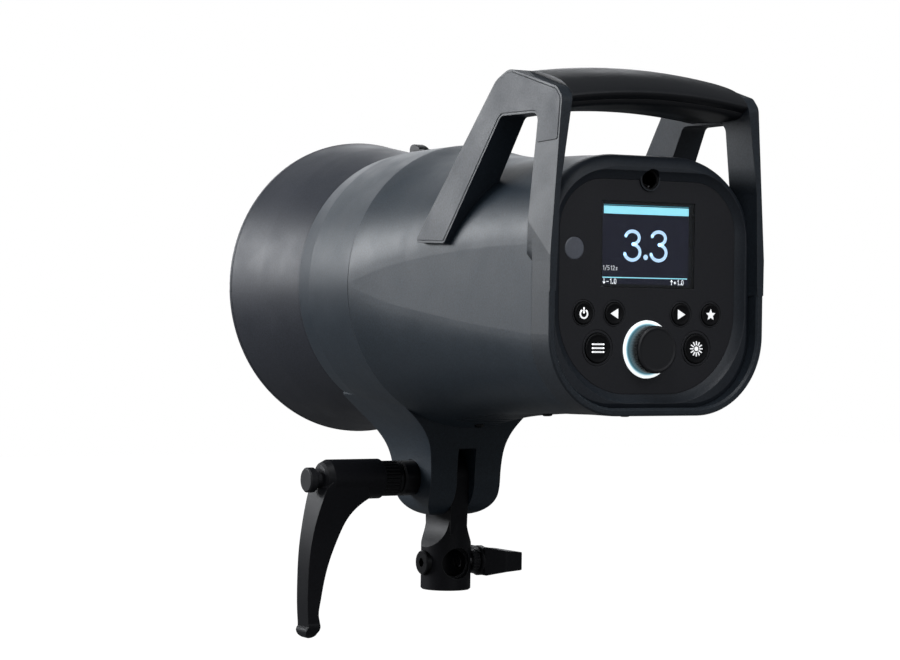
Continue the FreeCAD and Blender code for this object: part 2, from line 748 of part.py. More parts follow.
def panel_outline(station, grow):
    """The panel's outline, grown by an offset, on the plane Y = station."""
    half = float(size.panel_half_width) + grow
    top = float(size.panel_top) + grow
    bottom = float(size.panel_bottom) - grow
    high = float(size.panel_top_corner) + grow
    low = float(size.panel_bottom_corner) + grow
    corners = [(-half, bottom, low), (half, bottom, low), (half, top, high), (-half, top, high)]
    return rounded_outline(corners, across_y(station))


def notch_round(radius, start, end):
    """A post round the umbrella hole, between two stations."""
    return cylinder(radius, (0, start, float(size.umbrella_height)), Y_AXIS, end - start)


def bezel_shape():
    """The dished frame between the panel and the rim."""
    start = float(size.housing_back) + 0.3
    face = float(size.panel_face)
    cap = loft([
        rear_section(start, 0.0), rear_section(203.0, 0.25), rear_section(206.0, 1.3),
        rear_section(208.6, 3.6), rear_section(210.2, 6.4),
    ])
    dish = loft([panel_outline(face - 0.1, 0.1), panel_outline(face + 1.0, 1.9),
                 panel_outline(face + 2.4, 3.6), panel_outline(face + 5.0, 5.6)])
    back = float(size.panel_back)
    seat = loft([panel_outline(back, float(size.panel_gap)),
                 panel_outline(face, float(size.panel_gap))], True)
    through = loft([panel_outline(start - 1, -2.6), panel_outline(back + 0.1, -2.6)], True)
    shape = cap.cut(dish)
    ledge = notch_round(6.2, start, face + 0.9)
    shape = shape.cut(seat).cut(through).fuse(ledge)
    way_through = float(size.umbrella_outer) + 0.05
    shape = shape.cut(notch_round(way_through, start - 1, float(size.rim_back)))
    shape.translate(Vector(0, 0, lift))
    return shape.cut(rear_frame)


bezel = bezel_shape()
shape_node("rear_bezel", max(bezel.Solids, key=lambda solid: solid.Volume))

SMALL_CONTROLS = (
    ("power_button", size.outer_column, size.button_row, size.small_button),
    ("left_button", size.inner_column, size.button_row, size.small_button),
    ("right_button", -size.inner_column, size.button_row, size.small_button),
    ("star_button", -size.outer_column, size.button_row, size.small_button),
    ("menu_button", size.large_column, size.large_row, size.large_button),
    ("test_button", -size.large_column, size.large_row, size.large_button),
)


def panel_shape():
    """The flat panel with its window, button holes and light ring hole."""
    back, face = float(size.panel_back), float(size.panel_face)
    shape = loft([panel_outline(back, 0.0), panel_outline(face, 0.0)], True)
    depth = face - back + 2
    for _, across, along, radius in SMALL_CONTROLS:
        start = (float(across), back - 1, float(along))
        shape = shape.cut(cylinder(radius + size.button_gap, start, Y_AXIS, depth))
        groove_start = (float(across), face - float(size.groove_depth), float(along))
        outer = float(radius) * 1.24
        ring = cylinder(outer, groove_start, Y_AXIS, 2)
        ring = ring.cut(cylinder(outer - float(size.groove_width), groove_start, Y_AXIS, 2))
        shape = shape.cut(ring)
    hole = (0, back - 1, float(size.knob_height))
    shape = shape.cut(cylinder(size.light_ring_radius + 0.15, hole, Y_AXIS, depth))
    hole = (float(size.photocell_x), back - 1, float(size.photocell_z))
    shape = shape.cut(cylinder(size.photocell_radius + 0.1, hole, Y_AXIS, depth))
    half = float(size.window_half_width)
    shape = shape.cut(box((-half, back - 1, float(size.window_bottom)),
                          (half, face + 1, float(size.window_top))))
    return shape.cut(notch_round(6.35, back - 1, face + 1))


shape_node("control_panel", panel_shape(), 0, 0, size.axis_height)

window = new_body("display_window")
inset = size.clearance / 2.0
sketch = new_sketch(window, "XZ_Plane", "Pane", -(size.panel_face - 0.5))
add_polygon(sketch, rectangle_points(
    -size.window_half_width + inset, size.window_bottom + inset,
    size.window_half_width - inset, size.window_top - inset))
pad(window, sketch, 1.2)
place(window, 0, 0, size.axis_height)

display = new_body("display_unit")
sketch = new_sketch(display, "XZ_Plane", "Frame", -(size.panel_back - 0.3))
add_polygon(sketch, rectangle_points(-33.5, -6.0, 33.5, 47.6))
pad(display, sketch, 5.4)
sketch = new_sketch(display, "XZ_Plane", "Glass", -(size.panel_face - 2.1))
add_polygon(sketch, rectangle_points(-29.0, -0.9, 29.0, 43.4))
pad(display, sketch, 1.0, "Screen")
place(display, 0, 0, size.axis_height)

turned_body("photocell_window", [
    (size.panel_back - 1.0, 0.0), (size.panel_back - 1.0, size.photocell_radius + 0.5),
    (size.panel_back - 0.1, size.photocell_radius + 0.5),
    (size.panel_back - 0.1, size.photocell_radius),
    (size.panel_face - 0.1, size.photocell_radius),
    (size.panel_face + 0.15, size.photocell_radius - 0.6),
    (size.panel_face + 0.3, 0.0),
], size.axis_height + size.photocell_z, size.photocell_x)

for label, across, along, radius in SMALL_CONTROLS:
    turned_body(label, [
        (size.button_face - 5.0, 0.0), (size.button_face - 5.0, 1.8),
        (size.panel_back - 1.3, 1.8), (size.panel_back - 1.3, radius + 1.0),
        (size.panel_back - 0.3, radius + 1.0), (size.panel_back - 0.3, radius),
        (size.button_face - 0.6, radius), (size.button_face - 0.15, radius - 0.2),
        (size.button_face, radius - 0.7), (size.button_face - 0.25, radius - 2.0),
        (size.button_face - 0.35, 0.0),
    ], size.axis_height + along, across)

knob = new_body("control_knob")
sketch = new_sketch(knob, "YZ_Plane", "Profile")
add_polygon(sketch, [
    (size.knob_back, size.encoder_shaft + size.running_gap),
    (size.knob_back, size.knob_radius - 0.4), (size.knob_back + 0.5, size.knob_radius),
    (size.knob_face - 1.2, size.knob_radius), (size.knob_face - 0.35, size.knob_radius - 0.35),
    (size.knob_face, size.knob_radius - 1.3), (size.knob_face - 0.2, size.knob_radius - 2.4),
    (size.knob_face - 0.2, 0.0), (size.knob_face - 2.6, 0.0),
    (size.knob_face - 2.6, size.encoder_shaft + size.running_gap),
])
turn(knob, sketch)
sketch = new_sketch(knob, "XZ_Plane", "Flute", -(size.knob_back + 1.0))
add_circle(sketch, 0, size.knob_radius + 0.35, 0.55)
flute = pocket(knob, sketch, 6.4, "FluteCut")
polar_pattern(knob, flute, "Y_Axis", 48)
place(knob, 0, 0, size.axis_height + size.knob_height)

turned_body("light_ring", [
    (size.panel_back - 1.2, 9.0), (size.panel_back - 1.2, size.light_ring_radius + 1.5),
    (size.panel_back - 0.1, size.light_ring_radius + 1.5),
    (size.panel_back - 0.1, size.light_ring_radius),
    (size.light_ring_face - 0.4, size.light_ring_radius),
    (size.light_ring_face, size.light_ring_radius - 0.5),
    (size.light_ring_face, 9.0),
], size.axis_height + size.knob_height)

turned_body("encoder_plunger", [
    (size.board_front + 4.4, 0.0), (size.board_front + 4.4, size.encoder_shaft),
    (size.knob_face - 2.7, size.encoder_shaft), (size.knob_face - 2.7, 0.0),
], size.axis_height + size.knob_height)

encoder = new_body("encoder_body")
board_back = size.board_front + size.board_thickness
sketch = new_sketch(encoder, "XZ_Plane", "Case", -(board_back + 5.4))
add_polygon(sketch, rectangle_points(-6.0, -6.5, 6.0, 6.5))
pad(encoder, sketch, 5.4)
sketch = new_sketch(encoder, "XZ_Plane", "Neck", -(board_back + 9.4))
add_circle(sketch, 0, 0, 4.6)
pad(encoder, sketch, 4.2, "NeckPad")
sketch = new_sketch(encoder, "XZ_Plane", "Well", -(board_back + 1.8))
add_circle(sketch, 0, 0, size.encoder_shaft + size.running_gap)
pocket(encoder, sketch, 9.0, "WellCut")
place(encoder, 0, 0, size.axis_height + size.knob_height)

control_board = new_body("control_board")
sketch = new_sketch(control_board, "XZ_Plane", "Board", -board_back)
add_polygon(sketch, [
    (-50.0, -26.0), (-30.0, -48.0), (30.0, -48.0), (50.0, -26.0),
    (50.0, 32.0), (38.0, 47.0), (-38.0, 47.0), (-50.0, 32.0),
])
pad(control_board, sketch, size.board_thickness)
PILLAR_SPOTS = ((-44.0, 5.0), (44.0, 5.0), (-24.0, -44.0), (24.0, -44.0))
for across, along in PILLAR_SPOTS:
    sketch = new_sketch(control_board, "XZ_Plane", "Pillar", -size.panel_back)
    add_circle(sketch, across, along, 2.5)
    pad(control_board, sketch, size.panel_back - board_back, "PillarPad")
place(control_board, 0, 0, size.axis_height)


def switch_shapes():
    """One small push switch behind each button, as separate solids."""
    shapes = []
    start = float(board_back)
    for _, across, along, _ in SMALL_CONTROLS:
        x, z = float(across), float(along)
        case = box((x - 3.0, start, z - 3.0), (x + 3.0, start + 3.6, z + 3.0))
        stem = cylinder(1.7, (x, start + 3.6, z), Y_AXIS, 2.4)
        shapes.append(case.fuse(stem))
    return Part.makeCompound(shapes)


shape_node("button_switches", switch_shapes(), 0, 0, size.axis_height)

# ---------------------------------------------------------- umbrella tube

turned_body("umbrella_tube", [
    (size.umbrella_front, size.umbrella_bore), (size.umbrella_front, size.umbrella_outer),
    (size.umbrella_back, size.umbrella_outer),
    (size.umbrella_back, size.umbrella_bore + 0.45),
    (size.umbrella_back - 0.6, size.umbrella_bore),
], size.axis_height + size.umbrella_height)

# -------------------------------------------------------------- front end

base_plate = new_body("base_plate")
sketch = new_sketch(base_plate, "XZ_Plane", "Disc", -size.base_plate_back)
add_circle(sketch, 0, 0, size.base_plate_radius)
add_circle(sketch, 0, size.umbrella_height, size.umbrella_outer + 0.1)
pad(base_plate, sketch, size.base_plate_back - size.base_plate_front)
sketch = new_sketch(base_plate, "XZ_Plane", "ScrewHole", -size.base_plate_front)
add_circle(sketch, 45.0, 45.0, 1.7)
screw_hole = pocket(base_plate, sketch, 3.0, "ScrewCut")
polar_pattern(base_plate, screw_hole, "Y_Axis", 4)
place(base_plate, 0, 0, size.axis_height)

SCREW_SPOTS = ((45.0, 45.0), (-45.0, 45.0), (-45.0, -45.0), (45.0, -45.0))


def plate_screws():
    """Four button-head screws through the base plate."""
    shapes = []
    start = float(size.base_plate_front)
    for x, z in SCREW_SPOTS:
        head = Part.makeSphere(3.6, Vector(x, start + 2.0, z))
        head = head.common(cylinder(3.1, (x, start - 1.7, z), Y_AXIS, 1.7))
        shank = cylinder(1.6, (x, start - 0.2, z), Y_AXIS, 7.0)
        hexagon = Part.makePolygon([
            Vector(x + 1.15 * math.cos(k * math.pi / 3), start - 1.8,
                   z + 1.15 * math.sin(k * math.pi / 3)) for k in range(7)])
        socket = prism(hexagon, Vector(0, 1.2, 0))
        shapes.append(head.fuse(shank).cut(socket))
    return Part.makeCompound(shapes)


shape_node("base_plate_screws", plate_screws(), 0, 0, size.axis_height)

dome_front = size.base_plate_front - size.dome_length
turned_body("glass_dome", [
    (size.base_plate_front, size.dome_radius - size.dome_wall),
    (size.base_plate_front, size.dome_radius + 2.0),
    (size.base_plate_front - 1.6, size.dome_radius + 2.0),
    (size.base_plate_front - 1.8, size.dome_radius),
    (dome_front + 14.0, size.dome_radius), (dome_front + 8.0, size.dome_radius - 1.6),
    (dome_front + 4.0, size.dome_radius - 4.6), (dome_front + 1.4, size.dome_radius - 9.0),
    (dome_front + 0.2, size.dome_radius - 14.0), (dome_front, size.dome_radius - 20.0),
    (dome_front, 0.0), (dome_front + 2.0, 0.0),
    (dome_front + 2.0, size.dome_radius - 20.0), (dome_front + 2.3, size.dome_radius - 14.8),
    (dome_front + 3.4, size.dome_radius - 10.2), (dome_front + 5.6, size.dome_radius - 6.4),
    (dome_front + 9.0, size.dome_radius - 3.6), (dome_front + 14.2, size.dome_radius - 2.0),
], size.axis_height)


def clip_shapes():
    """Three spring clips that hold the dome's foot to the base plate."""
    shapes = []
    start = float(size.base_plate_front)
    foot = float(size.dome_radius) + 2.0
    for count in range(3):
        arm = box((-3.5, start - 2.5, foot - 1.2), (3.5, start - 1.75, foot + 1.0))
        wall_part = box((-3.5, start - 2.5, foot + 0.2), (3.5, start, foot + 1.0))
        tab = box((-3.5, start - 0.8, foot + 1.0), (3.5, start, foot + 4.2))
        clip = arm.fuse(wall_part).fuse(tab)
        clip.rotate(Vector(0, 0, 0), Vector(0, 1, 0), 60 + 120 * count)
        shapes.append(clip)
    return Part.makeCompound(shapes)


shape_node("dome_clips", clip_shapes(), 0, 0, size.axis_height)


def flash_tube_shape():
    """A ring tube, open at the bottom, on two legs."""
    ring_radius = float(size.flash_ring_radius)
    radius = float(size.flash_tube_radius)
    station = float(size.base_plate_front) - 13.0
    profile_circle = Part.Wire([Part.Circle(Vector(ring_radius, station, 0), Vector(0, 0, 1),
                                            radius).toShape()])
    ring = Part.Face(profile_circle).revolve(Vector(0, 0, 0), Vector(0, 1, 0), 330)
    ring.rotate(Vector(0, 0, 0), Vector(0, 1, 0), 90 + 15)
    shape = ring
    for turns in (-15, 15):
        angle = math.radians(-90 + turns)
        x, z = ring_radius * math.cos(angle), ring_radius * math.sin(angle)
        end_ball = Part.makeSphere(radius, Vector(x, station, z))
        leg = cylinder(radius, (x, station, z), Y_AXIS,
                       float(size.base_plate_front) - station)
        shape = shape.fuse(end_ball).fuse(leg)
    return shape


shape_node("flash_tube", flash_tube_shape(), 0, 0, size.axis_height)

turned_body("modelling_lamp", [
    (size.base_plate_front - size.lamp_depth, 0.0),
    (size.base_plate_front - size.lamp_depth, size.lamp_radius - 5.0),
    (size.base_plate_front - size.lamp_depth + 1.2, size.lamp_radius - 4.0),
    (size.base_plate_front - size.lamp_depth + 1.2, size.lamp_radius),
    (size.base_plate_front, size.lamp_radius), (size.base_plate_front, 0.0),
], size.axis_height)

# ------------------------------------------------------ inside the housing

tray = new_body("chassis_tray")
sketch = new_sketch(tray, "XY_Plane", "Floor", size.tray_height)
add_polygon(sketch, rectangle_points(
    -size.tray_half_width, size.base_plate_back, size.tray_half_width, size.tray_back))
pad(tray, sketch, size.tray_thickness)
for across in (-size.tray_half_width, size.tray_half_width - size.tray_thickness):
    sketch = new_sketch(tray, "XY_Plane", "Side", size.tray_height)
    add_polygon(sketch, rectangle_points(
        across, size.base_plate_back, across + size.tray_thickness, size.tray_back))
    pad(tray, sketch, 14.0, "SidePad")
sketch = new_sketch(tray, "XZ_Plane", "Foot", -(size.base_plate_back + size.tray_thickness))
add_polygon(sketch, rectangle_points(
    -size.tray_half_width, size.tray_height - 16.0, size.tray_half_width, size.tray_height))
pad(tray, sketch, size.tray_thickness, "FootPad")
sketch = new_sketch(tray, "XZ_Plane", "ScrewHoles", -size.base_plate_back)
add_circle(sketch, -45.0, -45.0, 1.8)
add_circle(sketch, 45.0, -45.0, 1.8)
pocket(tray, sketch, 3.0, "ScrewCut")
sketch = new_sketch(tray, "XY_Plane", "AirHole", size.tray_height + size.tray_thickness)
add_circle(sketch, 0, size.fan_centre, 27.0)
pocket(tray, sketch, 3.0, "AirCut")
place(tray, 0, 0, size.axis_height)

tray_top = size.tray_height + size.tray_thickness
for index, across in enumerate((-33.3, 0.0, 33.3), start=1):
    turned_body("capacitor_%d" % index, [
        (size.can_front + 22.0, 0.0), (size.can_front + 22.0, size.can_radius - 1.0),
        (size.can_front + 23.0, size.can_radius),
        (size.can_front + size.can_length - 1.0, size.can_radius),
        (size.can_front + size.can_length, size.can_radius - 1.0),
        (size.can_front + size.can_length, 0.0),
    ], size.axis_height + tray_top + size.can_radius, across)

power_board = new_body("power_board")
sketch = new_sketch(power_board, "XY_Plane", "Board", size.power_board_height)
add_polygon(sketch, rectangle_points(-46.0, 30.0, 46.0, 184.0))
pad(power_board, sketch, size.board_thickness)
for across in (-41.0, 41.0):
    for along in (34.0, 180.0):
        sketch = new_sketch(power_board, "XY_Plane", "Pillar", tray_top)
        add_circle(sketch, across * 0.99, along, 2.6)
        pad(power_board, sketch, size.power_board_height - tray_top, "PillarPad")
place(power_board, 0, 0, size.axis_height)


def transformer_shape():
    """A ferrite core with a round-cornered winding."""
    winding = Part.makeBox(22, 30, 24, Vector(-11, 0, 0))
    winding = winding.makeFillet(4.0, [edge for edge in winding.Edges
                                       if abs(edge.BoundBox.ZLength - 24) < 1e-6])
    core = Part.makeBox(36, 16, 28, Vector(-18, 7, 0))
    return winding.fuse(core)


board_top = size.power_board_height + size.board_thickness
shape_node("transformer", transformer_shape(), -22.0, 46.0, size.axis_height + board_top)

heat_sink = new_body("heat_sink")
sketch = new_sketch(heat_sink, "XY_Plane", "Base", 0.0)
add_polygon(sketch, rectangle_points(-20.0, 0.0, 20.0, 48.0))
pad(heat_sink, sketch, 3.0)
sketch = new_sketch(heat_sink, "XY_Plane", "Fin", 3.0)
add_polygon(sketch, rectangle_points(-20.0, 0.0, -18.6, 48.0))
fin = pad(heat_sink, sketch, 19.0, "FinPad")
linear_pattern(heat_sink, fin, "X_Axis", 38.6, 8, "Fins")
place(heat_sink, 16.0, 88.0, size.axis_height + board_top)

fan_frame = new_body("fan_frame")
fan_bottom = size.fan_top - size.fan_depth
half = size.fan_half_width
sketch = new_sketch(fan_frame, "XY_Plane", "Square", fan_bottom)
add_polygon(sketch, rectangle_points(-half, -half, half, half))
pad(fan_frame, sketch, size.fan_depth)
sketch = new_sketch(fan_frame, "XY_Plane", "Duct", size.fan_top)
add_circle(sketch, 0, 0, 27.5)
pocket(fan_frame, sketch, size.fan_depth - 2.0, "DuctCut")
sketch = new_sketch(fan_frame, "XY_Plane", "Inlet", fan_bottom + 2.0)
add_polygon(sketch, sector_points(13.0, 27.0, 45.0, 36.0))
inlet = pocket(fan_frame, sketch, 2.0, "InletCut")
polar_pattern(fan_frame, inlet, "Z_Axis", 4)
sketch = new_sketch(fan_frame, "XY_Plane", "Spindle", fan_bottom + 2.0)
add_circle(sketch, 0, 0, 1.5)
pad(fan_frame, sketch, 8.0, "SpindlePad")
place(fan_frame, 0, size.fan_centre, size.axis_height)


def fan_rotor_shape():
    """Seven pitched blades round a hub that runs on the frame's spindle."""
    low, high = float(fan_bottom) + 2.8, float(size.fan_top) - 0.8
    shape = cylinder(11.0, (0, 0, low), Z_AXIS, high - low)
    for index in range(7):
        blade = Part.makeBox(16.0, 14.0, 1.4, Vector(10.0, -7.0, -0.7))
        blade.rotate(Vector(0, 0, 0), Vector(1, 0, 0), 32)
        blade.rotate(Vector(0, 0, 0), Vector(0, 0, 1), index * 360.0 / 7)
        blade.translate(Vector(0, 0, (low + high) / 2.0))
        shape = shape.fuse(blade)
    room = cylinder(26.8, (0, 0, low), Z_AXIS, high - low)
    shape = shape.common(room)
    return shape.cut(cylinder(1.5 + float(size.running_gap), (0, 0, low - 1), Z_AXIS, 9.5))


shape_node("fan_rotor", fan_rotor_shape(), 0, size.fan_centre, size.axis_height)

# ---------------------------------------------------------- side sockets

plate_middle_y = size.socket_plate_middle
socket_plate = new_body("socket_plate")
sketch = new_sketch(socket_plate, "YZ_Plane", "Plate", size.socket_plate_outer)
add_polygon(sketch, rectangle_points(
    -size.socket_plate_half_length, -size.socket_plate_half_height,
    size.socket_plate_half_length, size.socket_plate_half_height))
plate_pad = pad(socket_plate, sketch, size.socket_plate_inner - size.socket_plate_outer)
openings = (("Mains", -29.2, -12.2, 0.0, 12.2), ("Switch", 4.6, 0.2, 24.4, 13.8),
            ("Data", 16.0, -10.2, 24.6, -6.8))
for name, low_y, low_z, high_y, high_z in openings:
    sketch = new_sketch(socket_plate, "YZ_Plane", name, size.socket_plate_inner)
    add_polygon(sketch, rectangle_points(low_y, low_z, high_y, high_z))
    pocket(socket_plate, sketch, 6.0, name + "Cut")
sketch = new_sketch(socket_plate, "YZ_Plane", "Sync", size.socket_plate_inner)
add_circle(sketch, 8.4, -8.5, 3.2)
pocket(socket_plate, sketch, 6.0, "SyncCut")
place(socket_plate, 0, plate_middle_y, size.axis_height)


def mains_inlet_shape():
    """An appliance inlet: a flanged well with three blades in it."""
    outer = float(size.socket_plate_outer)
    flange = box((outer - 1.6, -29.0, -12.0), (outer, -0.2, 12.0))
    case = box((outer - 0.5, -28.4, -11.4), (outer + 20.0, -0.8, 11.4))
    shape = flange.fuse(case)
    well = rounded_outline([(-26.6, -9.8, 0.6), (-8.6, -9.8, 0.6), (-5.0, -4.4, 0.6),
                            (-5.0, 4.4, 0.6), (-8.6, 9.8, 0.6), (-26.6, 9.8, 0.6)],
                           across_x(outer - 3.0))
    shape = shape.cut(prism(well, Vector(19.0, 0, 0)))
    drawer_well = box((outer - 3.0, -4.3, -8.3), (outer + 15.0, -1.3, 8.3))
    shape = shape.cut(drawer_well)
    for y, z in ((-15.0, 0.0), (-19.5, -6.0), (-19.5, 6.0)):
        shape = shape.fuse(box((outer + 2.0, y - 2.0, z - 1.0), (outer + 17.0, y + 2.0, z + 1.0)))
    return shape


shape_node("mains_inlet", mains_inlet_shape(), 0, plate_middle_y, size.axis_height)

fuse_drawer = new_body("fuse_drawer")
sketch = new_sketch(fuse_drawer, "YZ_Plane", "Front", size.socket_plate_outer - 2.2)
add_polygon(sketch, rectangle_points(-4.2, -8.2, -1.4, 8.2))
pad(fuse_drawer, sketch, 16.0)
place(fuse_drawer, 0, plate_middle_y, size.axis_height)


PIVOT_INSIDE, PIVOT_ALONG, PIVOT_HEIGHT = 2.6, 14.5, 7.0


def rocker_frame_shape():
    """The switch's case, with a hole for the rocker's pivot in each end wall."""
    outer = float(size.socket_plate_outer)
    flange = box((outer - 1.2, 4.0, -0.4), (outer, 25.0, 14.6))
    case = box((outer - 0.5, 5.0, 0.6), (outer + 12.0, 24.0, 13.4))
    shape = flange.fuse(case)
    shape = shape.cut(box((outer - 3.0, 6.1, 1.8), (outer + 9.0, 22.9, 12.2)))
    pivot_start = (outer + PIVOT_INSIDE, PIVOT_ALONG, PIVOT_HEIGHT - 5.9)
    return shape.cut(cylinder(size.pivot_radius + size.running_gap, pivot_start, Z_AXIS, 11.8))


def rocker_shape():
    """A two-faced rocker and its pivot pins, round its hinge line."""
    faces = [(-3.8, -7.4), (-3.0, 0.0), (-5.2, 7.4), (3.0, 3.6), (3.0, -3.6)]
    outline = Part.makePolygon([Vector(x, y, -4.8) for x, y in faces + faces[:1]])
    pivot = cylinder(size.pivot_radius, (0, 0, -5.8), Z_AXIS, 11.6)
    return prism(outline, Vector(0, 0, 9.6)).fuse(pivot)


shape_node("rocker_frame", rocker_frame_shape(), 0, plate_middle_y, size.axis_height)
shape_node("power_rocker", rocker_shape(), size.socket_plate_outer + PIVOT_INSIDE,
           plate_middle_y + PIVOT_ALONG, size.axis_height + PIVOT_HEIGHT)


def signal_sockets():
    """The sync jack and the data socket, as two separate solids."""
    outer = float(size.socket_plate_outer)
    jack = cylinder(3.1, (outer - 0.6, 8.4, -8.5), X_AXIS, 12.0)
    jack = jack.cut(cylinder(1.8, (outer - 1.0, 8.4, -8.5), X_AXIS, 10.0))
    port = box((outer - 0.2, 16.2, -10.0), (outer + 8.0, 24.4, -7.0))
    port = port.cut(box((outer - 1.0, 16.7, -9.5), (outer + 7.0, 23.9, -7.5)))
    tongue = box((outer + 0.8, 17.7, -8.85), (outer + 7.5, 22.9, -8.15))
    return Part.makeCompound([jack, port.fuse(tongue)])


shape_node("signal_sockets", signal_sockets(), 0, plate_middle_y, size.axis_height)

# ---------------------------------------------------------- stand adapter

adapter = new_body("stand_adapter")
sketch = new_sketch(adapter, "XY_Plane", "Barrel", 0.0)
add_circle(sketch, 0, 0, size.adapter_radius)
barrel = pad(adapter, sketch, size.adapter_height)
for name, middle in (("ScoopRight", 1.0), ("ScoopLeft", -1.0)):
    sketch = new_sketch(adapter, "XZ_Plane", name, size.adapter_radius + 2.0)
    centre = (size.tongue_half_width + size.scoop_radius) * middle
    add_circle(sketch, centre, size.scoop_height, size.scoop_radius)
    pocket(adapter, sketch, size.adapter_radius * 2.0 + 4.0, name + "Cut")
sketch = new_sketch(adapter, "YZ_Plane", "Tongue", -size.tongue_half_width)
add_polygon(sketch, [
    (-size.adapter_radius + 0.4, size.adapter_height - 14.0),
    (size.adapter_radius - 0.4, size.adapter_height - 14.0),
    (size.eye_radius, size.tilt_height), (-size.eye_radius, size.tilt_height),
])
pad(adapter, sketch, size.tongue_half_width * 2.0, "TonguePad")
sketch = new_sketch(adapter, "YZ_Plane", "Eye", -size.tongue_half_width)
add_circle(sketch, 0, size.tilt_height, size.eye_radius)
eye = pad(adapter, sketch, size.tongue_half_width * 2.0, "EyePad")
sketch = new_sketch(adapter, "XY_Plane", "StandSocket", size.stand_depth)
add_circle(sketch, 0, 0, size.stand_bore)
pocket(adapter, sketch, size.stand_depth, "StandCut")
sketch = new_sketch(adapter, "XY_Plane", "Relief", size.relief_high)
add_circle(sketch, 0, 0, size.stand_relief)
pocket(adapter, sketch, size.relief_high - size.relief_low, "ReliefCut")
sketch = new_sketch(adapter, "XZ_Plane", "CrossSocket", 0.0)
add_circle(sketch, 0, size.cross_height, size.cross_bore)
pocket(adapter, sketch, size.adapter_radius + 2.0, "CrossCut")
sketch = new_sketch(adapter, "XZ_Plane", "CrossMouth", -size.mouth_floor)
add_circle(sketch, 0, size.cross_height, size.cross_mouth)
pocket(adapter, sketch, size.adapter_radius, "MouthCut")
sketch = new_sketch(adapter, "YZ_Plane", "ScrewHole", -6.0)
add_circle(sketch, 0, size.cross_height, size.screw_radius + size.running_gap)
pocket(adapter, sketch, 12.0, "ScrewCut")
sketch = new_sketch(adapter, "YZ_Plane", "PlugHole", size.adapter_radius + 2.0)
add_circle(sketch, 0, size.cross_height, size.screw_radius)
pocket(adapter, sketch, 9.0, "PlugCut")
sketch = new_sketch(adapter, "YZ_Plane", "PlugSeat", size.adapter_radius + 2.0)
add_circle(sketch, 0, size.cross_height, size.plug_radius + 0.1)
pocket(adapter, sketch, 3.4, "SeatCut")
sketch = new_sketch(adapter, "YZ_Plane", "TiltHole", size.adapter_radius)
add_circle(sketch, 0, size.tilt_height, size.stud_radius + size.running_gap)
tilt_cut = pocket(adapter, sketch, size.adapter_radius * 2.0, "TiltCut")
soften(adapter, tilt_cut, 0.8, round_edge_at("z", 0.0, size.adapter_radius),
       "PartDesign::Chamfer", "FootBevel")

plug = turned_body("adapter_plug", [
    (8.4, 0.0), (8.4, size.screw_radius), (13.4, size.screw_radius),
    (13.4, size.plug_radius), (size.adapter_radius + size.plug_proud - 0.6, size.plug_radius),
    (size.adapter_radius + size.plug_proud, size.plug_radius - 0.6),
    (size.adapter_radius + size.plug_proud, 0.0),
], size.cross_height, 0.0, "H_Axis", "XZ_Plane")
sketch = new_sketch(plug, "YZ_Plane", "Hexagon", size.adapter_radius + size.plug_proud)
add_polygon(sketch, [(2.9 * math.cos(k * math.pi / 3), 2.9 * math.sin(k * math.pi / 3))
                     for k in range(6)])
pocket(plug, sketch, 3.0, "HexagonCut")

# ------------------------------------------------------------ clamp screw

def screw_handle_shape():
    """A fluted collar, a round hub and a wing that widens into a flat bar."""
    start = float(size.handle_start)
    fluted, hub = float(size.fluted_radius), float(size.screw_hub_radius)
    profile_points = [
        (start, 0.0), (start, fluted - 0.6), (start - 0.6, fluted), (start - 4.4, fluted),
        (start - 4.9, hub - 0.7), (start - 5.6, hub), (start - 8.6, hub),
        (start - 14.0, hub - 2.6), (start - 14.0, 0.0),
    ]
    points = [Vector(across, 0, along) for across, along in profile_points]
    shape = Part.Face(Part.makePolygon(points + points[:1]))
    shape = shape.revolve(Vector(0, 0, 0), Vector(1, 0, 0), 360)
    for step in range(20):
        angle = step * math.pi / 10
        axis_point = (start - 4.3, (fluted + 0.25) * math.cos(angle),
                      (fluted + 0.25) * math.sin(angle))
        shape = shape.cut(cylinder(0.6, axis_point, X_AXIS, 6.0))

    narrow, middle, end = start - 6.0, start - 17.4, start - 28.9
    reach = float(size.wing_half_length)
    top_view = rounded_outline([
        (narrow, 0.3 - hub, 1.0), (middle, -reach, 3.0), (end, -reach, 2.0),
        (end, reach, 2.0), (middle, reach, 3.0), (narrow, hub - 0.3, 1.0),
    ], lambda point: Vector(point.x, point.y, -15))
    side_view = rounded_outline([
        (narrow, 0.2 - hub, 1.0), (middle, -6.2, 6.0), (end, -5.3, 1.8),
        (end, 5.3, 1.8), (middle, 6.2, 6.0), (narrow, hub - 0.2, 1.0),
    ], lambda point: Vector(point.x, -25, point.y))
    wing = prism(top_view, Vector(0, 0, 30)).common(prism(side_view, Vector(0, 50, 0)))
    shank_room = cylinder(size.screw_radius + size.running_gap, (start - 12.0, 0, 0),
                          X_AXIS, 20.0)
    return shape.fuse(wing).cut(shank_room)


start = size.handle_start
shape_node("clamp_screw_handle", screw_handle_shape(), 0, 0, size.cross_height)

turned_body("clamp_screw_shank", [
    (size.screw_tip, 0.0), (size.screw_tip, size.screw_radius - 1.0),
    (size.screw_tip - 1.0, size.screw_radius), (start - 7.4, size.screw_radius),
    (start - 7.4, 0.0),
], size.cross_height, 0.0, "H_Axis", "XZ_Plane")

# ------------------------------------------------------------ clamp lever

turned_body("clamp_stud", [
    (size.stud_end, 0.0), (size.stud_end, size.stud_radius - 0.8),
    (size.stud_end + 0.8, size.stud_radius), (72.0, size.stud_radius), (72.0, 0.0),
], size.tilt_height, 0.0, "H_Axis", "XZ_Plane")

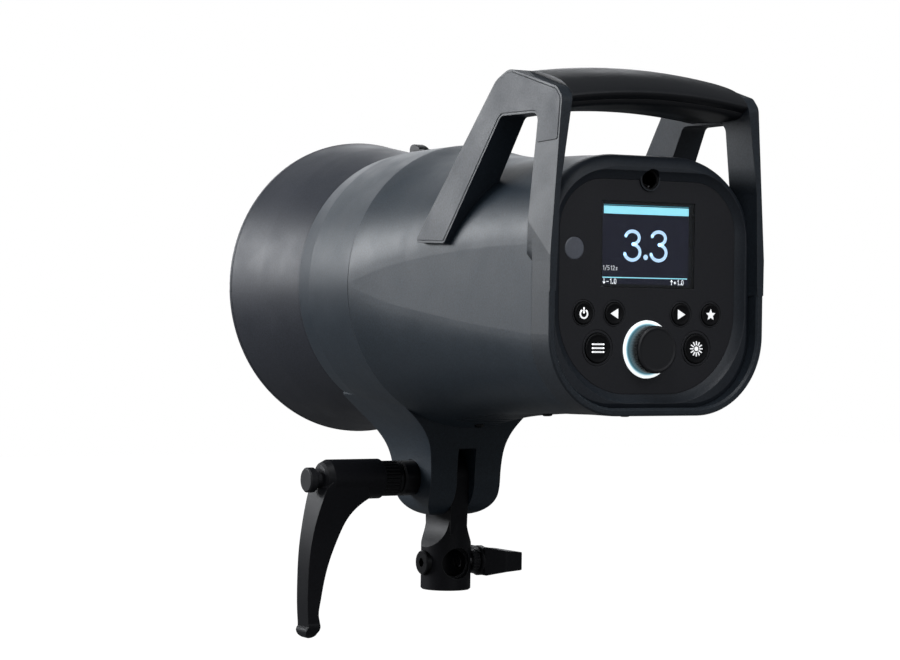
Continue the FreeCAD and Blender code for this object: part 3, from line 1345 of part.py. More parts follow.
turned_body("lever_spacer", [
    (size.cheek_half_width + 0.1, size.stud_radius + 0.1),
    (size.cheek_half_width + 0.1, size.sleeve_radius),
    (size.spacer_end - 1.0, size.sleeve_radius), (size.spacer_end, size.sleeve_radius - 1.0),
    (size.spacer_end, size.stud_radius + 0.1),
], size.tilt_height, 0.0, "H_Axis", "XZ_Plane")

sleeve = new_body("lever_sleeve")
sketch = new_sketch(sleeve, "XZ_Plane", "Profile")
add_polygon(sketch, [
    (size.spacer_end + 0.3, size.stud_radius + size.running_gap),
    (size.spacer_end + 0.3, size.sleeve_radius - 1.2),
    (size.spacer_end + 1.5, size.sleeve_radius), (size.sleeve_end, size.sleeve_radius),
    (size.sleeve_end, size.stud_radius + size.running_gap),
])
turn(sleeve, sketch)
sketch = new_sketch(sleeve, "YZ_Plane", "Tooth", size.sleeve_end)
add_circle(sketch, 0, size.sleeve_radius + 0.45, 0.95)
tooth = pocket(sleeve, sketch, 9.5, "ToothCut")
polar_pattern(sleeve, tooth, "X_Axis", 30)
place(sleeve, 0, 0, size.tilt_height)


def lever_shape():
    """The lever's hub and its drooping arm, round the clamp axis."""
    radius = float(size.hub_radius)
    start, end = float(size.hub_start), float(size.hub_end)
    hub_profile = [
        (start, 0.0), (start, radius - 0.8), (start + 0.8, radius), (end - 5.0, radius),
        (end - 1.6, radius - 1.6), (end - 0.3, radius - 3.4), (end, radius - 5.0), (end, 0.0),
    ]
    points = [Vector(across, 0, along) for across, along in hub_profile]
    hub = Part.Face(Part.makePolygon(points + points[:1]))
    hub = hub.revolve(Vector(0, 0, 0), Vector(1, 0, 0), 360)

    outer = Part.BSplineCurve()
    outer.interpolate([Vector(x, 0, z) for x, z in (
        (85.2, -4.0), (88.4, -14.0), (91.6, -27.0), (93.6, -39.0), (94.7, -56.0),
        (94.7, -74.0), (94.0, -84.0))])
    tip = Part.Arc(Vector(94.0, 0, -84.0), Vector(91.6, 0, -90.6), Vector(88.0, 0, -87.6))
    inner = Part.BSplineCurve()
    inner.interpolate([Vector(x, 0, z) for x, z in (
        (88.0, -87.6), (86.4, -84.2), (87.4, -78.0), (86.6, -70.0), (85.2, -62.0),
        (81.2, -46.0), (76.0, -32.6), (70.2, -21.4), (62.0, -13.4), (57.0, -10.4))])
    top = Part.makePolygon([Vector(57.0, 0, -10.4), Vector(60.0, 0, 0), Vector(80.0, 0, 0),
                            Vector(85.2, 0, -4.0)])
    edges = [outer.toShape(), tip.toShape(), inner.toShape()] + top.Edges
    side_view = Part.Wire(Part.__sortEdges__(edges))
    side_view.translate(Vector(0, -20, 0))
    arm = prism(side_view, Vector(0, 40, 0))

    right = [(10.9, 2.0), (10.9, -5.0), (9.6, -16.0), (8.2, -28.0), (7.3, -44.0),
             (6.9, -62.0), (6.7, -82.0)]
    right_edge = Part.BSplineCurve()
    right_edge.interpolate([Vector(0, y, z) for y, z in right])
    left_edge = Part.BSplineCurve()
    left_edge.interpolate([Vector(0, -y, z) for y, z in right])
    toe = Part.Arc(Vector(0, 6.7, -82.0), Vector(0, 0, -91.0), Vector(0, -6.7, -82.0))
    lid = Part.LineSegment(Vector(0, 10.9, 2.0), Vector(0, -10.9, 2.0))
    edges = [curve.toShape() for curve in (right_edge, left_edge, toe, lid)]
    front_view = Part.Wire(Part.__sortEdges__(edges))
    front_view.translate(Vector(50, 0, 0))
    arm = arm.common(prism(front_view, Vector(50, 0, 0)))
    shape = hub.fuse(arm)
    stud_room = cylinder(size.stud_radius + size.running_gap, (start - 1, 0, 0), X_AXIS, 27.4)
    neck_room = cylinder(size.lever_button_neck + size.running_gap, (start, 0, 0), X_AXIS, 50)
    return shape.cut(stud_room).cut(neck_room).removeSplitter()


shape_node("clamp_lever", lever_shape(), 0, 0, size.tilt_height)

turned_body("lever_button", [
    (75.5, 0.0), (75.5, size.lever_button_neck), (88.2, size.lever_button_neck),
    (88.6, size.lever_button_radius - 0.6), (89.2, size.lever_button_radius),
    (93.0, size.lever_button_radius), (93.7, size.lever_button_radius - 0.7),
    (93.7, 0.0),
], size.tilt_height, 0.0, "H_Axis", "XZ_Plane")

# ------------------------------------------------------ check and export

doc.recompute()
problems = []
for label, node in nodes:
    if any(word in ("Invalid", "Error") for word in node.State):
        problems.append("%s: %s" % (label, node.State))
    if node.Shape.isNull() or not node.Shape.isValid() or not node.Shape.Solids:
        problems.append("%s: shape is null, open or not valid" % label)
for item in doc.Objects:
    if any(word in ("Invalid", "Error") for word in item.State):
        problems.append("%s: %s" % (item.Name, item.State))
if problems:
    raise ValueError("; ".join(problems))
for label, node in nodes:
    node.Shape.exportStep(os.path.join("parts", "%s.step" % label))
print("wrote %d nodes" % len(nodes))
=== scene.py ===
import json
import math

import bmesh
import bpy
from mathutils import Matrix, Vector


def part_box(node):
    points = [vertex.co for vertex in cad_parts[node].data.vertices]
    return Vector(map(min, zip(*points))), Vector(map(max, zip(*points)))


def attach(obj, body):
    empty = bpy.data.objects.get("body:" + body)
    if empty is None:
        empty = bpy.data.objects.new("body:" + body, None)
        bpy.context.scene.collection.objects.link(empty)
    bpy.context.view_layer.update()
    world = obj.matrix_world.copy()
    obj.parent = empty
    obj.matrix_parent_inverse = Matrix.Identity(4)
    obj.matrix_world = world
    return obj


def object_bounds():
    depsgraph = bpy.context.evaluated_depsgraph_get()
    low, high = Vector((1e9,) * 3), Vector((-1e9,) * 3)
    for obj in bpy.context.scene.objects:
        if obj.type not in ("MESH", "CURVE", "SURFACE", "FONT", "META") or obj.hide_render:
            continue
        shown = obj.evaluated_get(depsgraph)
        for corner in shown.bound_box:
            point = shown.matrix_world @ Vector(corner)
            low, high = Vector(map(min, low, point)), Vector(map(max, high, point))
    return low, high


# Looks of the monolight strobe.  Metres, in the CAD part's own frame.

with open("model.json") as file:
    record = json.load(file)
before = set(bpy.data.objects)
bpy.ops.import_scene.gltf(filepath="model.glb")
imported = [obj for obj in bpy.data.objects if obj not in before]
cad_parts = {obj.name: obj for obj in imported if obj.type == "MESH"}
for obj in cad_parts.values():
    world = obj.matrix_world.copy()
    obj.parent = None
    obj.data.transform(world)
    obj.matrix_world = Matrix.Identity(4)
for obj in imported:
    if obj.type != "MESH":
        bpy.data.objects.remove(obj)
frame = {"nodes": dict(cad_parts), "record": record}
nodes = frame["nodes"]
cad_low, cad_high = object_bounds()
scene = bpy.context.scene
MM = 0.001


# ------------------------------------------------------------- materials

def new_material(name):
    material = bpy.data.materials.new(name)
    material.use_nodes = True
    tree = material.node_tree
    return material, tree, tree.nodes["Principled BSDF"]


def object_noise(tree, per_metre, detail=4.0, roughness=0.55):
    """Noise that is fixed to the object; its scale is in cells per metre."""
    coordinates = tree.nodes.new("ShaderNodeTexCoord")
    noise = tree.nodes.new("ShaderNodeTexNoise")
    noise.inputs["Scale"].default_value = per_metre
    noise.inputs["Detail"].default_value = detail
    noise.inputs["Roughness"].default_value = roughness
    tree.links.new(coordinates.outputs["Object"], noise.inputs["Vector"])
    return noise


def ramp(tree, source, stops):
    """A colour ramp with (position, colour) stops."""
    node = tree.nodes.new("ShaderNodeValToRGB")
    elements = node.color_ramp.elements
    while len(elements) < len(stops):
        elements.new(0.5)
    for element, (position, colour) in zip(elements, stops):
        element.position = position
        element.color = (*colour, 1.0)
    tree.links.new(source, node.inputs["Fac"])
    return node


def spread(tree, source, low, high):
    """The middle of a noise stretched out to run from low to high."""
    node = tree.nodes.new("ShaderNodeMapRange")
    node.inputs["From Min"].default_value = 0.3
    node.inputs["From Max"].default_value = 0.7
    node.inputs["To Min"].default_value = low
    node.inputs["To Max"].default_value = high
    tree.links.new(source, node.inputs["Value"])
    return node.outputs["Result"]


def bump(tree, shader, source, strength, depth, softened=None):
    """Surface relief from a noise, on top of the softened edges where they are given."""
    node = tree.nodes.new("ShaderNodeBump")
    node.inputs["Strength"].default_value = strength
    node.inputs["Distance"].default_value = depth
    tree.links.new(source, node.inputs["Height"])
    if softened:
        tree.links.new(softened, node.inputs["Normal"])
    tree.links.new(node.outputs["Normal"], shader.inputs["Normal"])


def rounded_normal(tree, radius):
    """Normals that turn over a small radius at every sharp edge."""
    node = tree.nodes.new("ShaderNodeBevel")
    node.samples = 4
    node.inputs["Radius"].default_value = radius
    return node.outputs["Normal"]


# Edges are pulled towards a fixed grey, which lightens the dark finishes: partly wear, partly a
# painted highlight along the edges.
OPEN_FACE, RUBBED_AND_HIGHLIT_EDGE = 0.995, 0.85
WORN_AND_HIGHLIT_GREY = 0.12


def edge_mask(tree, softened):
    """0 on open faces, rising to 1 along edges."""
    geometry = tree.nodes.new("ShaderNodeNewGeometry")
    facing = tree.nodes.new("ShaderNodeVectorMath")
    facing.operation = "DOT_PRODUCT"
    tree.links.new(softened, facing.inputs[0])
    tree.links.new(geometry.outputs["Normal"], facing.inputs[1])
    span = tree.nodes.new("ShaderNodeMapRange")
    span.inputs["From Min"].default_value = OPEN_FACE
    span.inputs["From Max"].default_value = RUBBED_AND_HIGHLIT_EDGE
    tree.links.new(facing.outputs["Value"], span.inputs["Value"])
    return span.outputs["Result"]


def scaled(colour, amount):
    return tuple(channel * amount for channel in colour)


def speckled(name, colour, rough, contrast=0.2, grain=1500.0, flakes=0.0, depth=0.00003,
             strength=0.25, specular=0.5, edge=0.0005, wear_and_highlight=0.35):
    """Moulded plastic or satin paint: fine grain, mottling, soft bump, and edges pulled towards a
    fixed grey as wear together with a painted highlight.
    """
    material, tree, shader = new_material(name)
    fine = object_noise(tree, grain, 3.0)
    broad = object_noise(tree, 45.0, 2.0)
    stops = [(0.25, scaled(colour, 1.0 - contrast)), (0.5, colour),
             (0.75, scaled(colour, 1.0 + contrast))]
    if flakes:
        stops.append((0.86, scaled(colour, 1.0 + flakes)))
    tint = ramp(tree, fine.outputs["Fac"], stops)
    mottle = ramp(tree, broad.outputs["Fac"], [(0.3, (0.93, 0.93, 0.93)), (0.7, (1.0, 1.0, 1.0))])
    mix = tree.nodes.new("ShaderNodeMix")
    mix.data_type = "RGBA"
    mix.blend_type = "MULTIPLY"
    mix.inputs["Factor"].default_value = 1.0
    tree.links.new(tint.outputs["Color"], mix.inputs["A"])
    tree.links.new(mottle.outputs["Color"], mix.inputs["B"])
    softened = rounded_normal(tree, edge)
    # Painted edge highlight together with wear: the base colour is pulled towards a fixed grey
    # along edges.
    rubbed_and_highlit = tree.nodes.new("ShaderNodeMix")
    rubbed_and_highlit.data_type = "RGBA"
    worn_and_highlit = [channel + wear_and_highlight * (WORN_AND_HIGHLIT_GREY - channel) for channel in colour]
    rubbed_and_highlit.inputs["B"].default_value = (*worn_and_highlit, 1.0)
    tree.links.new(edge_mask(tree, softened), rubbed_and_highlit.inputs["Factor"])
    tree.links.new(mix.outputs["Result"], rubbed_and_highlit.inputs["A"])
    tree.links.new(rubbed_and_highlit.outputs["Result"], shader.inputs["Base Color"])
    tree.links.new(spread(tree, broad.outputs["Fac"], rough - 0.04, rough + 0.05),
                   shader.inputs["Roughness"])
    shader.inputs["Specular IOR Level"].default_value = specular
    bump(tree, shader, fine.outputs["Fac"], strength, depth, softened)
    return material


def machined(name, colour, rough, grain=900.0, stretch=(1.0, 1.0, 12.0)):
    """Bare or blackened metal with fine drawn marks."""
    material, tree, shader = new_material(name)
    coordinates = tree.nodes.new("ShaderNodeTexCoord")
    mapping = tree.nodes.new("ShaderNodeMapping")
    mapping.inputs["Scale"].default_value = stretch
    noise = tree.nodes.new("ShaderNodeTexNoise")
    noise.inputs["Scale"].default_value = grain
    noise.inputs["Detail"].default_value = 3.0
    tree.links.new(coordinates.outputs["Object"], mapping.inputs["Vector"])
    tree.links.new(mapping.outputs["Vector"], noise.inputs["Vector"])
    tint = ramp(tree, noise.outputs["Fac"], [(0.3, scaled(colour, 0.85)), (0.7, colour)])
    tree.links.new(tint.outputs["Color"], shader.inputs["Base Color"])
    tree.links.new(spread(tree, noise.outputs["Fac"], rough - 0.06, rough + 0.08),
                   shader.inputs["Roughness"])
    shader.inputs["Metallic"].default_value = 1.0
    bump(tree, shader, noise.outputs["Fac"], 0.15, 0.00002)
    return material


def glowing(name, colour, power, mottle=0.06):
    """A light guide or a printed mark that glows a little, slightly uneven."""
    material, tree, shader = new_material(name)
    noise = object_noise(tree, 260.0, 2.0)
    tint = ramp(tree, noise.outputs["Fac"], [(0.3, scaled(colour, 1.0 - mottle)), (0.7, colour)])
    tree.links.new(tint.outputs["Color"], shader.inputs["Base Color"])
    tree.links.new(tint.outputs["Color"], shader.inputs["Emission Color"])
    shader.inputs["Emission Strength"].default_value = power
    shader.inputs["Roughness"].default_value = 0.45
    return material


def glassy(name, colour, rough, transmission=1.0):
    """Clear or frosted glass with a trace of unevenness."""
    material, tree, shader = new_material(name)
    noise = object_noise(tree, 120.0, 2.0)
    tint = ramp(tree, noise.outputs["Fac"], [(0.3, scaled(colour, 0.96)), (0.7, colour)])
    tree.links.new(tint.outputs["Color"], shader.inputs["Base Color"])
    tree.links.new(spread(tree, noise.outputs["Fac"], rough, rough + 0.03),
                   shader.inputs["Roughness"])
    shader.inputs["Transmission Weight"].default_value = transmission
    shader.inputs["IOR"].default_value = 1.46
    return material


# Painted and moulded surfaces.  Colours are linear red, green and blue.
body_paint = speckled("body_paint", (0.018, 0.029, 0.042), rough=0.47, contrast=0.45,
                      grain=1100.0, flakes=1.6, depth=0.00006, strength=0.55)
reflector_outside = speckled("reflector_outside", (0.022, 0.026, 0.038), rough=0.5,
                             contrast=0.45, grain=1100.0, flakes=1.4, depth=0.00006,
                             strength=0.5)
frame_grain = speckled("frame_grain", (0.018, 0.025, 0.034), rough=0.46, contrast=0.4,
                       grain=1000.0, flakes=0.9, depth=0.00009, strength=0.6)
inlay_grain = speckled("inlay_grain", (0.034, 0.041, 0.052), rough=0.5, contrast=0.4,
                       grain=900.0, flakes=0.9, depth=0.00012, strength=0.8)
black_plastic = speckled("black_plastic", (0.008, 0.0085, 0.011), rough=0.5, contrast=0.25,
                         grain=1300.0, flakes=0.2)
bezel_plastic = speckled("bezel_plastic", (0.016, 0.021, 0.029), rough=0.48, contrast=0.3,
                         grain=1100.0, flakes=0.5, depth=0.00005, strength=0.4)
grip_plastic = speckled("grip_plastic", (0.010, 0.011, 0.014), rough=0.42, contrast=0.25,
                        flakes=0.2)
panel_plastic = speckled("panel_plastic", (0.0125, 0.0128, 0.0170), rough=0.62, contrast=0.3,
                         flakes=0.2, depth=0.00005, strength=0.4, wear_and_highlight=0.2)
button_plastic = speckled("button_plastic", (0.0022, 0.0022, 0.0032), rough=0.55,
                          grain=1600.0, flakes=0.2, specular=0.2)
black_casting = speckled("black_casting", (0.008, 0.0082, 0.0105), rough=0.42, contrast=0.3,
                         grain=900.0, flakes=0.3, depth=0.00008, strength=0.35,
                         specular=0.2)
lens_grey = speckled("lens_grey", (0.16, 0.17, 0.20), rough=0.35, contrast=0.08, grain=800.0,
                     depth=0.00001, strength=0.1)
screen_black = speckled("screen_black", (0.004, 0.005, 0.009), rough=0.3, contrast=0.1,
                        grain=500.0, depth=0.00001, strength=0.05, wear_and_highlight=0.0)
white_enamel = speckled("white_enamel", (0.72, 0.72, 0.70), rough=0.4, contrast=0.04,
                        grain=900.0)
board_green = speckled("board_green", (0.02, 0.10, 0.045), rough=0.4, grain=700.0)
can_sleeve = speckled("can_sleeve", (0.02, 0.022, 0.04), rough=0.25, contrast=0.1, grain=500.0)
phosphor = speckled("phosphor", (0.75, 0.55, 0.12), rough=0.5, contrast=0.08, grain=900.0)
ferrite = speckled("ferrite", (0.02, 0.018, 0.016), rough=0.6, grain=900.0)

# Bare metals, glass and marks that give off light.
EVEN_GRAIN = (1.0, 1.0, 1.0)
black_steel = machined("black_steel", (0.035, 0.035, 0.037), 0.36)
steel = machined("steel", (0.55, 0.55, 0.56), 0.3)
aluminium = machined("aluminium", (0.75, 0.75, 0.76), 0.34, 500.0, EVEN_GRAIN)
silver = machined("silver", (0.86, 0.87, 0.88), 0.42, 1400.0, EVEN_GRAIN)
window_glass = glassy("window_glass", (0.90, 0.93, 0.96), 0.03)
dome_glass = glassy("dome_glass", (0.93, 0.95, 0.96), 0.32, 0.85)
tube_glass = glassy("tube_glass", (0.95, 0.97, 0.98), 0.04)
picture_blue = glowing("picture_blue", (0.005, 0.005, 0.014), 1.0, 0.15)
header_cyan = glowing("header_cyan", (0.33, 0.80, 0.90), 1.0)
rule_teal = glowing("rule_teal", (0.05, 0.22, 0.27), 1.0)
digit_blue = glowing("digit_blue", (0.55, 0.78, 0.98), 1.0)
mark_white = glowing("mark_white", (0.86, 0.87, 0.88), 0.8)


def ring_glow(centre, dim_radius, full_radius):
    """The light guide round the knob: bright outside, dying away towards the knob."""
    material, tree, shader = new_material("ring_light")
    coordinates = tree.nodes.new("ShaderNodeTexCoord")
    offset = tree.nodes.new("ShaderNodeVectorMath")
    offset.operation = "SUBTRACT"
    offset.inputs[1].default_value = centre
    flat = tree.nodes.new("ShaderNodeVectorMath")
    flat.operation = "MULTIPLY"
    flat.inputs[1].default_value = (1.0, 0.0, 1.0)
    distance = tree.nodes.new("ShaderNodeVectorMath")
    distance.operation = "LENGTH"
    reach = tree.nodes.new("ShaderNodeMapRange")
    reach.interpolation_type = "SMOOTHSTEP"
    reach.inputs["From Min"].default_value = dim_radius
    reach.inputs["From Max"].default_value = full_radius
    tree.links.new(coordinates.outputs["Object"], offset.inputs[0])
    tree.links.new(offset.outputs["Vector"], flat.inputs[0])
    tree.links.new(flat.outputs["Vector"], distance.inputs[0])
    tree.links.new(distance.outputs["Value"], reach.inputs["Value"])
    tint = ramp(tree, reach.outputs["Result"], [
        (0.0, (0.05, 0.12, 0.15)), (0.4, (0.2, 0.4, 0.48)),
        (0.8, (0.72, 0.88, 0.93)), (1.0, (0.93, 0.97, 0.98)),
    ])
    tree.links.new(tint.outputs["Color"], shader.inputs["Base Color"])
    tree.links.new(tint.outputs["Color"], shader.inputs["Emission Color"])
    shader.inputs["Emission Strength"].default_value = 0.92
    shader.inputs["Roughness"].default_value = 0.45
    return material


def knob_with_painted_ring_light(low, high):
    """The knob's black plastic, with a painted glow up its side that stands in for the ring's
    light dying away.
    """
    material = speckled("knob_painted_glow", (0.009, 0.0095, 0.0120), 0.48, 0.2, 1500.0)
    tree = material.node_tree
    shader = tree.nodes["Principled BSDF"]
    coordinates = tree.nodes.new("ShaderNodeTexCoord")
    parts = tree.nodes.new("ShaderNodeSeparateXYZ")
    # Painted light: the knob's side glows, fading upwards, in place of the ring's light falling on
    # it.
    painted_glow_fade = tree.nodes.new("ShaderNodeMapRange")
    painted_glow_fade.interpolation_type = "SMOOTHERSTEP"
    painted_glow_fade.inputs["From Min"].default_value = low
    painted_glow_fade.inputs["From Max"].default_value = high
    painted_glow_fade.inputs["To Min"].default_value = 0.14
    painted_glow_fade.inputs["To Max"].default_value = 0.0
    tree.links.new(coordinates.outputs["Object"], parts.inputs["Vector"])
    tree.links.new(parts.outputs["Y"], painted_glow_fade.inputs["Value"])
    tree.links.new(painted_glow_fade.outputs["Result"], shader.inputs["Emission Strength"])
    shader.inputs["Emission Color"].default_value = (0.42, 0.78, 0.95, 1.0)
    return material


ring_low, ring_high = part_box("light_ring")
knob_low, knob_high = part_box("control_knob")
ring_light = ring_glow((ring_low + ring_high) / 2, 12.4 * MM, 14.2 * MM)
knob_painted_glow = knob_with_painted_ring_light(knob_low.y - 0.4 * MM, knob_low.y + 5.5 * MM)

# Finishes by the record's material slots, and three nodes with a finish of their own.
FINISHES = {
    "body_paint": body_paint, "bracket_paint": body_paint, "inlay": inlay_grain,
    "reflector_paint": reflector_outside, "black_plastic": black_plastic,
    "grip_plastic": grip_plastic, "panel_plastic": panel_plastic,
    "button_plastic": button_plastic, "display_glass": window_glass,
    "display_black": screen_black, "lens_grey": lens_grey, "light_ring": ring_light,
    "steel": steel, "black_steel": black_steel, "black_metal": black_casting,
    "aluminium": aluminium, "base_white": white_enamel, "dome_glass": dome_glass,
    "tube_glass": tube_glass, "lamp_yellow": phosphor, "board_green": board_green,
    "can_sleeve": can_sleeve, "ferrite": ferrite,
}
OWN_FINISHES = {
    "rear_frame": frame_grain, "rear_bezel": bezel_plastic, "control_knob": knob_painted_glow,
}
slot_of = {item["node"]: item["material_slot"] for item in frame["record"]["subparts"]}
for name, node in nodes.items():
    node.data.materials.clear()
    node.data.materials.append(OWN_FINISHES.get(name) or FINISHES[slot_of[name]])


def smooth(obj, degrees=32.0):
    """Smooth shading with sharp edges kept where the faces really turn."""
    mesh = obj.data
    mesh.polygons.foreach_set("use_smooth", [True] * len(mesh.polygons))
    mesh.set_sharp_from_angle(angle=math.radians(degrees))


for node in nodes.values():
    smooth(node)

# The height of the head's own axis, and two places measured from it and along it.
axis_z = (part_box("reflector")[0].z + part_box("reflector")[1].z) / 2
COLLAR_CREASE, COLLAR_CREASE_RADIUS = -22.7 * MM, 81.5 * MM
DISH_INSIDE_RADIUS = 86.5 * MM


def mark_crease(mesh, station, radius):
    """Keep one shallow turned crease crisp: the edges on a circle across Y."""
    for edge in mesh.edges:
        ends = [mesh.vertices[index].co for index in edge.vertices]
        if all(abs(end.y - station) < 0.05 * MM
               and abs(math.hypot(end.x, end.z - axis_z) - radius) < 0.3 * MM for end in ends):
            edge.use_edge_sharp = True


def silver_inside(dish):
    """Give the faces that look inwards, and the dish's floor, bright metal."""
    dish.materials.append(silver)
    for face in dish.polygons:
        outward = Vector((face.center.x, 0, face.center.z - axis_z))
        lean = face.normal.dot(outward.normalized())
        faces_forward = face.normal.y < -0.5 and outward.length < DISH_INSIDE_RADIUS
        if lean < -0.05 or faces_forward:
            face.material_index = 1


mark_crease(nodes["front_collar"].data, COLLAR_CREASE, COLLAR_CREASE_RADIUS)
silver_inside(nodes["reflector"].data)


# ------------------------------------------------------------ new pieces

def add_object(name, mesh, material, body):
    """Put a mesh in the scene, riding on a body of the CAD part."""
    obj = bpy.data.objects.new(name, mesh)
    scene.collection.objects.link(obj)
    mesh.materials.append(material)
    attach(obj, body)
    return obj


class Plate:
    """Flat marks drawn as thin solid plates that face +Y and read from behind the head."""

    def __init__(self, centre, front, thickness):
        self.centre, self.front, self.thickness = centre, front, thickness
        self.mesh = bmesh.new()

    def solid(self, ring, centre):
        """One flat shape that is a fan round its centre; (right, up) as a reader sees it."""
        layers = []
        for station in (self.front, self.front - self.thickness):
            layers.append([self.mesh.verts.new((self.centre[0] - u, station, self.centre[1] + v))
                           for u, v in [centre] + ring])
        fore, aft = layers
        for index in range(1, len(ring) + 1):
            after = index % len(ring) + 1
            self.mesh.faces.new((fore[0], fore[index], fore[after]))
            self.mesh.faces.new((aft[0], aft[after], aft[index]))
            self.mesh.faces.new((fore[after], fore[index], aft[index], aft[after]))

    def outline(self, points):
        """A closed shape that can be seen whole from its middle."""
        middle = (sum(u for u, v in points) / len(points), sum(v for u, v in points) / len(points))
        self.solid(points, middle)

    def disc(self, centre, radius):
        self.solid(arc(centre, radius, 0, 345, 23), centre)

    def stroke(self, points, width, round_ends=True):
        """A line of even width along the points, with mitred turns."""
        rails = []
        for index, (u, v) in enumerate(points):
            before = points[max(index - 1, 0)]
            after = points[min(index + 1, len(points) - 1)]
            along_in = Vector((u - before[0], v - before[1]))
            along_out = Vector((after[0] - u, after[1] - v))
            if index == 0:
                along_in = along_out
            if index == len(points) - 1:
                along_out = along_in
            along = (along_in.normalized() + along_out.normalized()).normalized()
            reach = width / 2 / max(0.4, along.dot(along_out.normalized()))
            side = Vector((-along.y, along.x)) * reach
            back = self.front - self.thickness
            corners = ((1, self.front), (-1, self.front), (-1, back), (1, back))
            rails.append([self.mesh.verts.new((self.centre[0] - u - across * side.x, station,
                                               self.centre[1] + v + across * side.y))
                          for across, station in corners])
        for first, second in zip(rails, rails[1:]):
            for corner in range(4):
                after = (corner + 1) % 4
                self.mesh.faces.new((first[corner], first[after], second[after], second[corner]))
        self.mesh.faces.new(rails[0])
        self.mesh.faces.new(rails[-1][::-1])
        if round_ends:
            self.disc(points[0], width / 2)
            self.disc(points[-1], width / 2)

    def piece(self, name, material, body, slot=None):
        bmesh.ops.recalc_face_normals(self.mesh, faces=self.mesh.faces)
        mesh = bpy.data.meshes.new(name)
        self.mesh.to_mesh(mesh)
        self.mesh.free()
        return add_object(name, mesh, material, body)


def arc(centre, radius, start, end, steps=16, stretch=1.0):
    """Points on a circle, or on an oval that is stretched sideways.

    The angles are in degrees, anticlockwise from the right as a reader sees it.
    """
    points = []
    for step in range(steps + 1):
        angle = math.radians(start + (end - start) * step / steps)
        points.append((centre[0] + radius * stretch * math.cos(angle),
                       centre[1] + radius * math.sin(angle)))
    return points


def polar(radius, degrees):
    """The point at a radius and an angle from the middle."""
    return arc((0, 0), radius, degrees, degrees, 1)[0]


def digit_three(width, height):
    """Two bowls of a light 3 that share the middle stroke."""
    upper = arc((0.48, 0.75), 0.2, 165, -85, 22, 1.9)
    lower = arc((0.48, 0.3), 0.245, 85, -168, 24, 1.75)
    return [[(u * width, v * height) for u, v in bowl] for bowl in (upper, lower)]


SMALL_GLYPHS = {
    "0": [[(0.05, 0.2), (0.05, 0.8), (0.2, 1.0), (0.35, 1.0), (0.5, 0.8), (0.5, 0.2),
           (0.35, 0.0), (0.2, 0.0), (0.05, 0.2), (0.05, 0.3)]],
    "1": [[(0.08, 0.8), (0.28, 1.0), (0.28, 0.0)]],
    "2": [[(0.05, 0.8), (0.2, 1.0), (0.38, 1.0), (0.5, 0.8), (0.5, 0.62), (0.05, 0.0),
           (0.52, 0.0)]],
    "5": [[(0.5, 1.0), (0.08, 1.0), (0.06, 0.56), (0.32, 0.62), (0.5, 0.45), (0.5, 0.18),
           (0.34, 0.0), (0.05, 0.02)]],
    "/": [[(0.02, -0.1), (0.46, 1.05)]],
    "s": [[(0.46, 0.58), (0.2, 0.64), (0.08, 0.5), (0.42, 0.2), (0.34, 0.02), (0.04, 0.04)]],
    ".": [[(0.12, 0.0), (0.12, 0.14)]],
    "-": [[(0.06, 0.42), (0.44, 0.42)]],
    "+": [[(0.02, 0.42), (0.48, 0.42)], [(0.25, 0.66), (0.25, 0.18)]],
    "down": [[(0.25, 1.0), (0.25, 0.1)], [(0.02, 0.36), (0.25, 0.04), (0.48, 0.36)]],
    "up": [[(0.25, 0.9), (0.25, 0.0)], [(0.02, 0.64), (0.25, 0.96), (0.48, 0.64)]],
}
GLYPH_STEP = {".": 0.42, "1": 0.6, "/": 0.7}
WIDE_STEP = 0.86


def write_small(plate, marks, left, bottom, height, width):
    """A short line of numbers and signs."""
    at = left
    for mark in marks:
        for line in SMALL_GLYPHS[mark]:
            plate.stroke([(at + u * height, bottom + v * height) for u, v in line], width)
        at += GLYPH_STEP.get(mark, WIDE_STEP) * height


# The display's picture lies on the display unit's face; places are from the window's middle.
window_low, window_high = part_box("display_window")
screen_centre = ((window_low.x + window_high.x) / 2, (window_low.z + window_high.z) / 2)
screen_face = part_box("display_unit")[1].y
PICTURE_LIFT, MARK_LIFT, LAYER = 0.06 * MM, 0.12 * MM, 0.05 * MM
BAR_LEFT, BAR_RIGHT = -27.2 * MM, 26.4 * MM
SMALL_LEFT, SMALL_RIGHT, SMALL_LEVEL = -27.2 * MM, 15.4 * MM, -20.5 * MM


def screen_rectangle(name, material, left, right, bottom, top, lift_off):
    plate = Plate(screen_centre, screen_face + lift_off, LAYER)
    plate.outline([(left, bottom), (right, bottom), (right, top), (left, top)])
    plate.piece(name, material, "head")


